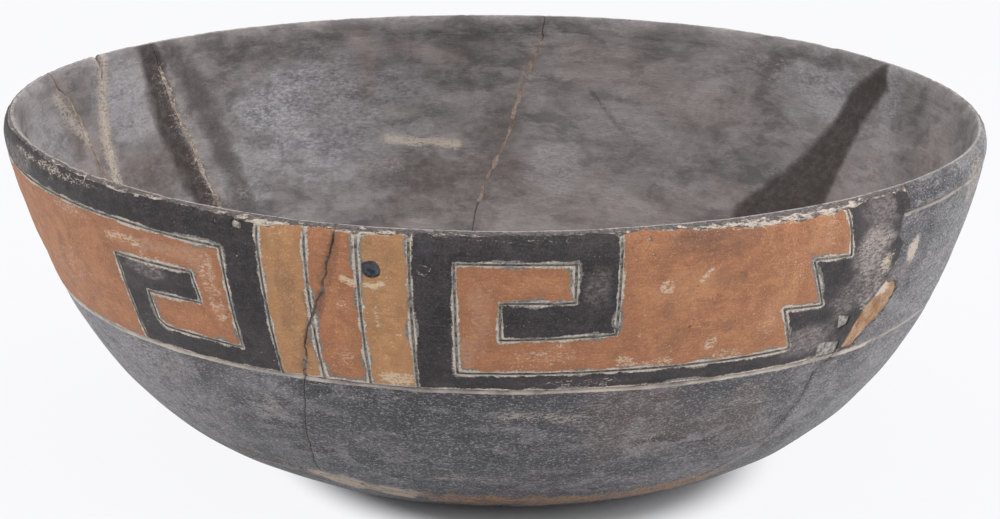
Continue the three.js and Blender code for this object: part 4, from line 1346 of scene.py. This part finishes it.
def speck_effect():
    """Small pale specks, gathered in drifts. Amount says how many there are."""
    group, recipe, takes, gives = new_effect(
        "drifting_specks", [("Place", VECTOR, None), ("Size", NUMBER, 1.0), ("Amount", NUMBER, 0.5)],
        [("Specks", NUMBER)])
    place = takes["Place"]
    scale = recipe.math("DIVIDE", 1.0, takes["Size"])
    warped = recipe.noise(place, recipe.times(scale, 2.3), 2.0)
    cells = recipe.cells(place, scale)
    dot = recipe.math("SUBTRACT", cells.outputs["Distance"], recipe.times(warped, 0.35))
    drift = recipe.noise(place, recipe.times(scale, 0.16), 3.0, 0.6)
    drift = recipe.span(drift, 0.4, 0.7, 0.0, 0.8)
    size = recipe.span(cells.outputs["Color"], 0.2, 1.0, -0.16, 0.06)
    limit = recipe.plus(recipe.times(takes["Amount"], 0.9), drift, -0.95)
    limit = recipe.math("MINIMUM", limit, size)
    recipe.feed(gives["Specks"], recipe.span(recipe.math("SUBTRACT", limit, dot), -0.03, 0.05))
    return group


def cloud_effect():
    """Slow clouds of lighter and darker clay."""
    group, recipe, takes, gives = new_effect(
        "firing_clouds", [("Place", VECTOR, None), ("Size", NUMBER, 30.0)],
        [("Cloud", NUMBER), ("Mottle", NUMBER)])
    place = takes["Place"]
    scale = recipe.math("DIVIDE", 1.0, takes["Size"])
    big = recipe.noise(place, scale, 4.0, 0.6, 0.6)
    recipe.feed(gives["Cloud"], recipe.span(big, 0.36, 0.64))
    small = recipe.noise(place, recipe.times(scale, 5.0), 5.0, 0.65, 0.4)
    recipe.feed(gives["Mottle"], recipe.span(small, 0.36, 0.64))
    return group


def crust_effect():
    """Cream crust and bare clay along an incised line. Edge is the way from the line in millimetres."""
    group, recipe, takes, gives = new_effect(
        "line_crust", [("Place", VECTOR, None), ("Edge", NUMBER, 9.0), ("Width", NUMBER, 0.9)],
        [("Bare", NUMBER), ("Crust", NUMBER)])
    place = takes["Place"]
    slow = recipe.span(recipe.noise(place, 0.17, 2.0, 0.5), 0.36, 0.64, 0.4, 1.4)
    ragged_edge = recipe.math("SUBTRACT", recipe.noise(place, 1.9, 4.0, 0.8), 0.5)
    reach = recipe.times(takes["Width"], slow)
    outer = recipe.plus(reach, recipe.times(ragged_edge, 1.5))
    band = recipe.span(recipe.noise(place, 0.09, 2.0, 0.5), 0.52, 0.62, 0.0, 0.6)
    past = recipe.math("SUBTRACT", takes["Edge"], recipe.plus(outer, band))
    recipe.feed(gives["Bare"], recipe.span(past, -0.1, 0.14, 1.0, 0.0))
    within = recipe.math("SUBTRACT", outer, takes["Edge"])
    start = recipe.plus(recipe.times(ragged_edge, 0.8), 0.05)
    beyond = recipe.math("SUBTRACT", takes["Edge"], start)
    breaks = recipe.span(recipe.noise(place, 1.1, 4.0, 0.75), 0.36, 0.48, 0.35, 1.0)
    crust = recipe.times(recipe.span(within, -0.05, 0.15), recipe.span(beyond, -0.1, 0.08), breaks)
    recipe.feed(gives["Crust"], crust)
    return group


def grain_effect():
    """The grain, pits and rubbed places of a thick old resin paint."""
    group, recipe, takes, gives = new_effect(
        "paint_grain", [("Place", VECTOR, None)],
        [("Grain", NUMBER), ("Pits", NUMBER), ("Rub", NUMBER), ("Smudge", NUMBER), ("Lines", NUMBER)])
    place = takes["Place"]
    recipe.feed(gives["Grain"], recipe.span(recipe.noise(place, 1.9, 5.0, 0.8, 0.3), 0.34, 0.66))
    pits = recipe.cells(place, 0.7)
    size = recipe.span(recipe.noise(place, 0.3, 2.0), 0.5, 0.75, 0.02, 0.3)
    recipe.feed(gives["Pits"], recipe.math("LESS_THAN", pits.outputs["Distance"], size))
    recipe.feed(gives["Rub"], recipe.span(recipe.noise(place, 0.2, 6.0, 0.75, 0.6), 0.4, 0.6))
    slow = recipe.noise(place, 0.085, 5.0, 0.7, 1.2)
    recipe.feed(gives["Smudge"], recipe.span(slow, 0.5, 0.68))
    level = recipe.drawn_noise(place, (0.16, 0.16, 1.6), 3.0, 0.7, 1.2)
    recipe.feed(gives["Lines"], recipe.span(level, 0.52, 0.66))
    return group


BURNISH = burnish_effect()
BLOOM = bloom_effect()
BREAKING = breaking_effect()
SPECKS = speck_effect()
CLOUDS = cloud_effect()
CRUST = crust_effect()
GRAIN = grain_effect()

CREAM = linear(200, 184, 170)
CREAM_BRIGHT = linear(234, 221, 205)
BARE_LOW = linear(98, 96, 94)
BARE_HIGH = linear(160, 155, 149)
PAPER_WHITE = linear(249, 249, 251)


def new_finish(name):
    finish = bpy.data.materials.new(name)
    finish.use_nodes = True
    recipe = Recipe(finish.node_tree)
    shader = finish.node_tree.nodes["Principled BSDF"]
    return finish, recipe, shader


def mark_masks(recipe, place):
    """The four masks, dark and warm ragged, pale and grey broken up, and how strongly pale was laid."""
    marks = recipe.value_of("marks")
    grain = recipe.noise(place, 0.5, 4.0, 0.7)
    shift = recipe.times(recipe.math("SUBTRACT", grain, 0.5), 0.9)
    parts = recipe.add("ShaderNodeSeparateColor")
    recipe.feed(parts.inputs[0], marks.outputs["Color"])
    masks = {"pale_share": parts.outputs[1]}
    laid = {"dark": parts.outputs[0], "warm": parts.outputs[2], "grey": marks.outputs["Alpha"]}
    for name, mask in laid.items():
        shifted_mask = recipe.math("ADD", mask, shift)
        masks[name] = recipe.math("MULTIPLY", shifted_mask, recipe.span(mask, 0.0, 0.3), clamp=True)
    broken = recipe.drawn_noise(place, (0.7, 0.7, 1.6), 4.0, 0.7)
    masks["grey"] = recipe.times(masks["grey"], recipe.span(broken, 0.38, 0.62, 0.25, 1.25))
    masks["pale"] = recipe.effect(BREAKING, Place=place, Mask=parts.outputs[1])["Mask"]
    return masks


def raise_bumps(recipe, shader, height, distance):
    bump = recipe.add("ShaderNodeBump")
    bump.inputs["Strength"].default_value = 1.0
    bump.inputs["Distance"].default_value = distance * MM
    recipe.feed(bump.inputs["Height"], height)
    recipe.feed(shader.inputs["Normal"], bump.outputs["Normal"])


def clay_outside(recipe, masks, clouds, streaks, bloom):
    """Smoked clay, rubbed in level streaks and worn dry and grey in places. The grey on the flanks is
    partly painted sheen.
    """
    film = recipe.times(bloom["Bloom"], recipe.span(clouds["Mottle"], 0.2, 0.8), 0.55)
    colour = recipe.blend(clouds["Cloud"], linear(34, 36, 44), linear(60, 58, 63))
    return recipe.coats(colour, [
        # Grey coat: clay worn dry, and on the flanks partly painted sheen.
        (recipe.times(masks["grey"], 0.74), linear(158, 156, 159)),
        (recipe.times(masks["warm"], 0.85), linear(112, 89, 80)),
        (recipe.times(masks["dark"], 0.7), linear(31, 32, 42)),
        (recipe.span(clouds["Mottle"], 0.0, 0.45, 0.4, 0.0), linear(30, 31, 38)),
        (recipe.times(streaks["Streaks"], 0.3), linear(108, 107, 113)),
        (film, linear(150, 147, 148)),
        (recipe.span(bloom["Grain"], 0.0, 0.4, 0.45, 0.0), linear(26, 26, 32)),
        (recipe.span(bloom["Grain"], 0.66, 1.0, 0.0, 0.6), linear(182, 179, 178)),
    ])


def clay_inside(recipe, masks, clouds, streaks, bloom):
    """The inside: dull and cloudy, brown with old contents and grey where it is dry."""
    colour = recipe.blend(clouds["Cloud"], linear(84, 79, 80), linear(128, 122, 122))
    return recipe.coats(colour, [
        (recipe.times(clouds["Mottle"], 0.5), linear(144, 138, 137)),
        (recipe.times(masks["grey"], 0.75), linear(170, 168, 174)),
        (recipe.times(masks["warm"], 0.55), linear(136, 116, 107)),
        (recipe.times(streaks["Streaks"], 0.3), linear(88, 83, 85)),
        (recipe.times(bloom["Bloom"], 0.3), linear(172, 166, 165)),
        (recipe.span(clouds["Mottle"], 0.0, 0.35, 0.3, 0.0), linear(78, 73, 74)),
        (recipe.span(bloom["Grain"], 0.0, 0.5, 0.14, 0.0), linear(74, 69, 69)),
        # Dark coat: resin and soot, and the painted shadow beside the rear break.
        (recipe.times(masks["dark"], 0.96), linear(47, 36, 34)),
    ])


def worn_colours(recipe, place, down, outside, masks, grain, colour):
    """Rust-brown and pale worn clay. Also gives how strongly the pale clay shows."""
    foot_noise = recipe.drawn_noise(place, (0.3, 0.3, 0.9), 6.0, 0.8)
    rust = recipe.times(recipe.span(down, 84.0, 90.0), masks["warm"])
    rust_patches = recipe.span(foot_noise, 0.44, 0.55, 0.1, 1.0)
    rusty = recipe.blend(grain, linear(132, 90, 60), linear(186, 144, 102))
    at_foot = recipe.span(down, 84.0, 87.0)
    foot_patches = recipe.span(foot_noise, 0.42, 0.5, -0.75, 0.0)
    pale = recipe.times(masks["pale"], recipe.plus(1.0, recipe.times(at_foot, foot_patches)))
    bareness = recipe.times(masks["pale_share"], masks["pale_share"])
    worn = recipe.blend(bareness, linear(150, 142, 138), linear(212, 196, 178))
    colour = recipe.coats(colour, [
        (recipe.times(rust, rust_patches), rusty),
        (recipe.times(pale, recipe.span(outside, 0.0, 1.0, 0.55, 0.8)), worn),
    ])
    return colour, pale


def band_colours(recipe, place, down, band, grain, colour):
    """The bare clay of the paint's beds, the strip above the paint and the pale crown of the lip. The
    beds' clay is made paler as painted light against the shade in the narrow gaps between coats, and the
    worn crown is brightened into a painted highlight.
    """
    rough_bed = recipe.span(recipe.noise(place, 0.8, 5.0, 0.8), 0.38, 0.62)
    # Bare grey clay in the beds, made paler to lift the shade in the narrow gaps between coats: partly
    # painted light.
    bed = recipe.blend(rough_bed, linear(92, 88, 85), linear(192, 186, 178))
    filled = recipe.span(recipe.noise(place, 0.3, 4.0, 0.7), 0.48, 0.56)
    off_lines = recipe.span(recipe.number_of("edge"), 8.0, 8.9)
    bed = recipe.blend(recipe.times(filled, off_lines, 0.8), bed, CREAM_BRIGHT)

    lip_noise = recipe.drawn_noise(place, (0.3, 0.3, 1.2), 5.0, 0.75)
    drift = recipe.plus(lip_noise, recipe.span(down, 0.4, 2.2, -0.1, 0.07))
    under_lip = recipe.blend(grain, linear(64, 56, 56), linear(124, 114, 110))
    cream = recipe.blend(grain, CREAM, CREAM_BRIGHT)
    under_lip = recipe.blend(recipe.span(drift, 0.49, 0.58), under_lip, cream)
    strip = recipe.times(band, recipe.span(down, 0.3, 0.6), recipe.span(down, 3.0, 5.0, 1.0, 0.0))

    # The lip's pale worn crown, brightened into a painted highlight along the top of the lip.
    crown = recipe.times(recipe.span(down, -0.65, -0.3), recipe.span(down, 0.15, 0.4, 1.0, 0.0))
    rubbed = recipe.span(recipe.noise(place, 0.5, 5.0, 0.7), 0.36, 0.5)
    return recipe.coats(colour, [
        (recipe.times(band, recipe.span(down, 2.6, 4.2), 0.9), bed),
        (recipe.times(strip, 0.92), under_lip),
        (recipe.times(crown, rubbed, recipe.plus(0.3, recipe.times(band, 0.65))), linear(228, 213, 203)),
    ])


def crack_colours(recipe, place, band, broken, colour):
    """Old glue and crumbled clay along the breaks, and the core of the clay within them."""
    crack_edge = recipe.span(recipe.number_of("crack"), 0.0, 0.6, 1.0, 0.0)
    chips = recipe.span(recipe.noise(place, 1.1, 4.0, 0.75), 0.5, 0.6)
    resin = recipe.blend(band, linear(64, 57, 55), linear(104, 74, 58))
    smear = recipe.span(recipe.noise(place, 0.4, 4.0, 0.7), 0.4, 0.6, 0.3, 1.0)
    smear = recipe.times(crack_edge, smear, recipe.span(band, 0.0, 1.0, 0.4, 0.85))
    core = recipe.blend(band, linear(44, 38, 36), linear(140, 104, 82))
    core = recipe.blend(recipe.span(broken, 0.7, 1.0), core, linear(88, 72, 62))
    return recipe.coats(colour, [
        (smear, resin),
        (recipe.times(crack_edge, chips, 0.45), linear(146, 126, 110)),
        (recipe.span(broken, 0.05, 0.4), core),
    ])


def clay_finish():
    """Smoke-blackened clay: burnished outside, cloudy inside, pale on the lip, bare in the breaks."""
    finish, recipe, shader = new_finish("smoked_clay")
    place = recipe.place()
    masks = mark_masks(recipe, place)
    apart = recipe.add("ShaderNodeSeparateXYZ")
    recipe.feed(apart.inputs[0], recipe.value_of("wall").outputs["Vector"])
    down, broken = apart.outputs[1], apart.outputs[2]
    level_place = recipe.stretch(place, (0.75, 0.75, 1.8))
    clouds = recipe.effect(CLOUDS, Place=level_place, Size=36.0)
    streaks = recipe.effect(BURNISH, Place=place)
    bloom = recipe.effect(BLOOM, Place=place)
    specks = recipe.effect(SPECKS, Place=place, Size=1.1, Amount=0.36)["Specks"]
    drawn_place = recipe.stretch(place, (0.6, 0.6, 1.3))
    dust = recipe.effect(SPECKS, Place=drawn_place, Size=0.62, Amount=0.42)["Specks"]
    grain = bloom["Grain"]
    outside = recipe.span(down, -0.9, 0.3)
    outer = clay_outside(recipe, masks, clouds, streaks, bloom)
    colour = recipe.blend(outside, clay_inside(recipe, masks, clouds, streaks, bloom), outer)

    colour, pale = worn_colours(recipe, place, down, outside, masks, grain, colour)
    colour = recipe.coats(colour, [
        (recipe.times(specks, recipe.span(outside, 0.0, 1.0, 0.15, 0.55)), linear(178, 174, 170)),
        (recipe.times(dust, outside, 0.5), linear(178, 175, 172)),
        (recipe.times(streaks["Scratches"], outside, 0.62), linear(172, 169, 167)),
    ])
    band = recipe.number_of("band")
    colour = band_colours(recipe, place, down, band, grain, colour)
    colour = line_colours(recipe, place, colour)
    colour = crack_colours(recipe, place, band, broken, colour)
    recipe.feed(shader.inputs["Base Color"], colour)

    rough = recipe.plus(0.4, recipe.times(streaks["Streaks"], 0.12), recipe.times(bloom["Bloom"], 0.14))
    rough = recipe.plus(rough, recipe.times(pale, 0.2), recipe.span(outside, 0.0, 1.0, 0.22, 0.0))
    recipe.feed(shader.inputs["Roughness"], recipe.math("MINIMUM", rough, 1.0))
    height = recipe.plus(recipe.times(streaks["Streaks"], outside, 0.4), recipe.times(grain, 1.1))
    height = recipe.math("SUBTRACT", height, recipe.times(streaks["Scratches"], 0.4))
    height = recipe.times(height, recipe.span(outside, 0.0, 1.0, 0.35, 1.0))
    raise_bumps(recipe, shader, height, 0.15)
    return finish


def line_colours(recipe, place, colour):
    """The incised lines in bare clay: a dark trough with a pale crust along it, thicker below."""
    offset = recipe.number_of("edge")
    grain = recipe.math("SUBTRACT", recipe.noise(place, 1.0, 4.0, 0.75), 0.5)
    offset = recipe.plus(offset, recipe.times(grain, 0.7))
    painted = recipe.number_of("painted")
    offset = recipe.times(offset, recipe.span(painted, 0.0, 1.0, 1.6, 1.0))
    slow = recipe.span(recipe.noise(place, 0.12, 2.0), 0.36, 0.64, 0.45, 1.0)
    slow = recipe.times(slow, recipe.span(painted, 0.0, 1.0, 0.55, 1.0))

    def between(low, full_low, full_high, high):
        falling = recipe.span(offset, full_high, high, 1.0, 0.0)
        return recipe.times(recipe.span(offset, low, full_low), falling)

    return recipe.coats(colour, [
        (recipe.times(between(-0.35, -0.15, 0.05, 0.25), 0.75), linear(66, 64, 63)),
        (recipe.times(between(-0.75, -0.5, -0.35, -0.15), slow, 0.5), linear(168, 160, 151)),
        (recipe.times(between(0.05, 0.25, 0.8, 1.15), slow, 0.95), linear(208, 194, 182)),
    ])


def paint_finish(name, shades, rough_low, fleck_amount, crust_width):
    """A thick resin paint, rubbed and smudged, with bare clay and cream crust along its lines."""
    low, middle, high, worn, smudged, haze_and_sheen = (linear(*shade) for shade in shades)
    finish, recipe, shader = new_finish(name)
    place = recipe.place()
    masks = mark_masks(recipe, place)
    paint = recipe.effect(GRAIN, Place=place)
    grain = paint["Grain"]
    specks = recipe.effect(SPECKS, Place=place, Size=0.9, Amount=fleck_amount)["Specks"]
    edge = recipe.number_of("edge")
    crust = recipe.effect(CRUST, Place=place, Edge=edge, Width=crust_width)

    rim_share = recipe.times(recipe.span(edge, 0.6, 4.5, 1.0, 0.0), paint["Rub"], 0.5)
    resin = recipe.blend(0.5, smudged, linear(84, 68, 61))
    chalky = recipe.blend(0.45, haze_and_sheen, CREAM_BRIGHT)
    bareness = recipe.times(masks["pale_share"], masks["pale_share"])
    fleck = recipe.blend(bareness, chalky, linear(238, 212, 170))
    body = recipe.coats(recipe.blend(paint["Rub"], low, middle), [
        (recipe.times(paint["Smudge"], 0.42), smudged),
        (recipe.times(masks["warm"], 0.6), worn),
        (recipe.times(paint["Lines"], 0.35), worn),
        (rim_share, recipe.blend(0.35, low, smudged)),
        (recipe.times(masks["dark"], 0.9), resin),
        # Grey coat: haze on the paint, and on the dark paint's top at the left partly painted sheen.
        (recipe.times(masks["grey"], 0.85), haze_and_sheen),
        (recipe.span(grain, 0.0, 0.45, 0.42, 0.0), low),
        (recipe.span(grain, 0.58, 1.0, 0.0, 0.38), high),
        (recipe.times(paint["Pits"], 0.6), smudged),
        (recipe.times(specks, 0.7), recipe.blend(0.6, high, CREAM_BRIGHT)),
        (recipe.times(masks["pale"], 0.85), fleck),
        (crust["Bare"], recipe.blend(grain, BARE_LOW, BARE_HIGH)),
        (recipe.times(crust["Crust"], 0.92), recipe.blend(grain, CREAM, CREAM_BRIGHT)),
    ])
    recipe.feed(shader.inputs["Base Color"], body)

    rough = recipe.plus(rough_low, recipe.times(grain, 0.2), recipe.times(crust["Bare"], 0.2))
    recipe.feed(shader.inputs["Roughness"], rough)
    height = recipe.plus(recipe.times(grain, 1.2), crust["Crust"], recipe.times(masks["pale"], 0.3))
    height = recipe.math("SUBTRACT", height, recipe.times(paint["Pits"], 0.4))
    height = recipe.math("SUBTRACT", height, recipe.times(crust["Bare"], 0.4))
    raise_bumps(recipe, shader, height, 0.2)
    return finish


def filler_finish(name, shades):
    """Old filler and glue: lumpy, dull and stained."""
    low, high, specked = (linear(*shade) for shade in shades)
    finish, recipe, shader = new_finish(name)
    place = recipe.place()
    paint = recipe.effect(GRAIN, Place=place)
    clouds = recipe.effect(CLOUDS, Place=place, Size=5.0)
    edge = recipe.number_of("edge")
    pale = mark_masks(recipe, place)["pale"]
    body = recipe.coats(recipe.blend(clouds["Cloud"], low, high), [
        (recipe.times(paint["Rub"], 0.4), specked),
        (recipe.span(paint["Grain"], 0.35, 0.5, 0.5, 0.0), low),
        (recipe.times(paint["Pits"], 0.4), linear(96, 76, 62)),
        (recipe.span(edge, 0.05, 0.5, 0.5, 0.0), low),
        (recipe.times(pale, 0.8), CREAM_BRIGHT),
    ])
    recipe.feed(shader.inputs["Base Color"], body)
    recipe.feed(shader.inputs["Roughness"], recipe.plus(0.62, recipe.times(paint["Grain"], 0.3)))
    raise_bumps(recipe, shader, recipe.plus(paint["Grain"], recipe.times(clouds["Mottle"], 0.6)), 0.3)
    return finish


def pitch_finish():
    """Dark pitch, dull blue-grey where it has weathered."""
    finish, recipe, shader = new_finish("weathered_pitch")
    place = recipe.place()
    grain = recipe.effect(GRAIN, Place=place)["Grain"]
    clouds = recipe.effect(CLOUDS, Place=place, Size=2.2)
    specks = recipe.effect(SPECKS, Place=place, Size=0.6, Amount=0.36)["Specks"]
    body = recipe.blend(clouds["Cloud"], linear(52, 54, 62), linear(104, 107, 116))
    body = recipe.blend(recipe.times(specks, 0.6), body, linear(140, 132, 126))
    recipe.feed(shader.inputs["Base Color"], body)
    recipe.feed(shader.inputs["Roughness"], recipe.span(grain, 0.3, 0.7, 0.45, 0.7))
    raise_bumps(recipe, shader, grain, 0.3)
    return finish


# The foot's shadow fades out between these two, in millimetres from the foot's middle.
SHADOW_REACH = 52.0
CLEAR_REACH = 68.0


def paper_finish():
    """The white paper that the bowl stands on. It shows the foot's shadow and is plain white past it."""
    finish, recipe, shader = new_finish("floor_paper")
    place = recipe.place()
    shader.inputs["Base Color"].default_value = PAPER_WHITE
    shader.inputs["Roughness"].default_value = 0.95
    shader.inputs["Specular IOR Level"].default_value = 0.1
    apart = recipe.add("ShaderNodeSeparateXYZ")
    recipe.feed(apart.inputs[0], place)
    across = recipe.math("SUBTRACT", apart.outputs[0], 8.0)
    forward = recipe.times(apart.outputs[1], 0.75)
    reach = recipe.math("SQRT", recipe.plus(recipe.times(across, across), recipe.times(forward, forward)))
    clear = recipe.span(reach, SHADOW_REACH, CLEAR_REACH, 0.0, 0.97)
    rays = recipe.add("ShaderNodeLightPath").outputs
    seen = recipe.math("MAXIMUM", rays["Is Glossy Ray"], rays["Is Transmission Ray"])
    seen = recipe.math("MAXIMUM", rays["Is Camera Ray"], seen)
    white = recipe.add("ShaderNodeEmission")
    white.inputs["Color"].default_value = PAPER_WHITE
    white.inputs["Strength"].default_value = 1.0
    mix = recipe.add("ShaderNodeMixShader")
    recipe.feed(mix.inputs[0], recipe.times(clear, seen))
    recipe.feed(mix.inputs[1], shader.outputs["BSDF"])
    recipe.feed(mix.inputs[2], white.outputs["Emission"])
    output = finish.node_tree.nodes["Material Output"]
    recipe.feed(output.inputs["Surface"], mix.outputs["Shader"])
    return finish


# A paint's low, middle, high and rubbed colours, and those of its smudges and its haze, which on the dark
# paint's top at the left also stands for painted sheen.
ORANGE = [
    (166, 107, 71), (190, 127, 84), (224, 172, 130), (214, 156, 110), (130, 80, 56), (190, 158, 138),
]
OCHRE = [
    (178, 128, 82), (202, 148, 99), (228, 184, 142), (214, 166, 120), (144, 104, 72), (186, 160, 134),
]
PURPLE_BLACK = [
    (20, 14, 16), (52, 42, 45), (122, 111, 113), (86, 78, 82), (84, 77, 83), (176, 164, 160),
]
# A filler's low and high colours, and that of its specks.
BREAK_FILLER = [(132, 112, 101), (180, 158, 145), (214, 196, 184)]
LOSS_FILLER = [(168, 122, 84), (204, 162, 122), (224, 200, 170)]

FINISHES = {
    "clay": clay_finish(),
    "light_paint": paint_finish("burnt_orange_paint", ORANGE, 0.5, 0.32, 0.62),
    "amber_paint": paint_finish("ochre_paint", OCHRE, 0.5, 0.32, 0.6),
    "dark_paint": paint_finish("purple_black_paint", PURPLE_BLACK, 0.46, 0.34, 0.48),
    "filler": filler_finish("break_filler", BREAK_FILLER),
    "loss_filler": filler_finish("loss_filler", LOSS_FILLER),
    "pitch": pitch_finish(),
}


def slot_of(node):
    if node.endswith("sherd"):
        return "clay"
    if "light" in node or "stripe_2" in node:
        return "light_paint"
    if "stripe" in node:
        return "amber_paint"
    if "dark" in node:
        return "dark_paint"
    return {"loss_filler": "loss_filler", "lacing_hole_plug": "pitch"}.get(node, "filler")


for node, piece in pieces.items():
    slot = slot_of(node)
    write_marks(piece, slot.endswith("paint"))
    if slot == "clay":
        wall = read_value(piece, "wall", 3)
        write_value(piece, "edge", line_offset(wall[:, 0], wall[:, 1]))
        write_value(piece, "band", in_band(wall[:, 0], wall[:, 1]))
        write_value(piece, "painted", in_design(wall[:, 0]))
    piece.data.materials.clear()
    piece.data.materials.append(FINISHES[slot])
    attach(piece, "root")
    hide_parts(node)


# Floor, light and camera.
bpy.ops.object.select_all(action="DESELECT")
bpy.ops.mesh.primitive_plane_add(size=8.0, location=(0, 0, 0))
floor = bpy.context.object
floor.name = "studio_floor"
floor.data.materials.append(paper_finish())

world = bpy.data.worlds.new("studio")
bpy.context.scene.world = world
world.use_nodes = True
background = world.node_tree.nodes["Background"]
background.inputs["Color"].default_value = (1.0, 1.0, 1.0, 1.0)
background.inputs["Strength"].default_value = 0.6


def soft_light(name, place, aim, size, power):
    bpy.ops.object.light_add(type="AREA", location=place)
    lamp = bpy.context.object
    lamp.name = name
    lamp.data.shape = "RECTANGLE"
    lamp.data.size, lamp.data.size_y = size
    lamp.data.energy = power
    forward = (Matrix.Translation(aim).translation - lamp.location).normalized()
    lamp.rotation_euler = forward.to_track_quat("-Z", "Y").to_euler()
    return lamp


soft_light("top_box", (0.0, -0.15, 1.3), (0, 0, 0), (1.4, 1.2), 13)
soft_light("left_box", (-1.3, -0.35, 0.6), (0, 0, 0.05), (0.9, 0.9), 8)
soft_light("right_box", (1.3, -0.1, 0.55), (0, 0, 0.05), (0.9, 0.9), 13)

CAMERA_TILT = math.radians(15.26646)
CAMERA_ROLL = math.radians(1.06693)
CAMERA_AIM = np.array([1.407, 0.0, 48.408]) * MM
CAMERA_DISTANCE = 1.0
FOCAL_LENGTH = 137.76
forward = np.array([0, math.cos(CAMERA_TILT), -math.sin(CAMERA_TILT)])
level_right = np.array([1.0, 0, 0])
level_up = np.array([0, math.sin(CAMERA_TILT), math.cos(CAMERA_TILT)])
right = math.cos(CAMERA_ROLL) * level_right + math.sin(CAMERA_ROLL) * level_up
up = -math.sin(CAMERA_ROLL) * level_right + math.cos(CAMERA_ROLL) * level_up
place = CAMERA_AIM - forward * CAMERA_DISTANCE
bpy.ops.object.camera_add()
camera = bpy.context.object
camera.name = "photo_camera"
camera.matrix_world = Matrix([
    (right[0], up[0], -forward[0], place[0]),
    (right[1], up[1], -forward[1], place[1]),
    (right[2], up[2], -forward[2], place[2]),
    (0, 0, 0, 1),
])
camera.data.sensor_width = 36.0
camera.data.lens = FOCAL_LENGTH
camera.data.clip_start = 0.05
bpy.context.scene.camera = camera
bpy.context.scene.view_settings.view_transform = "Standard"
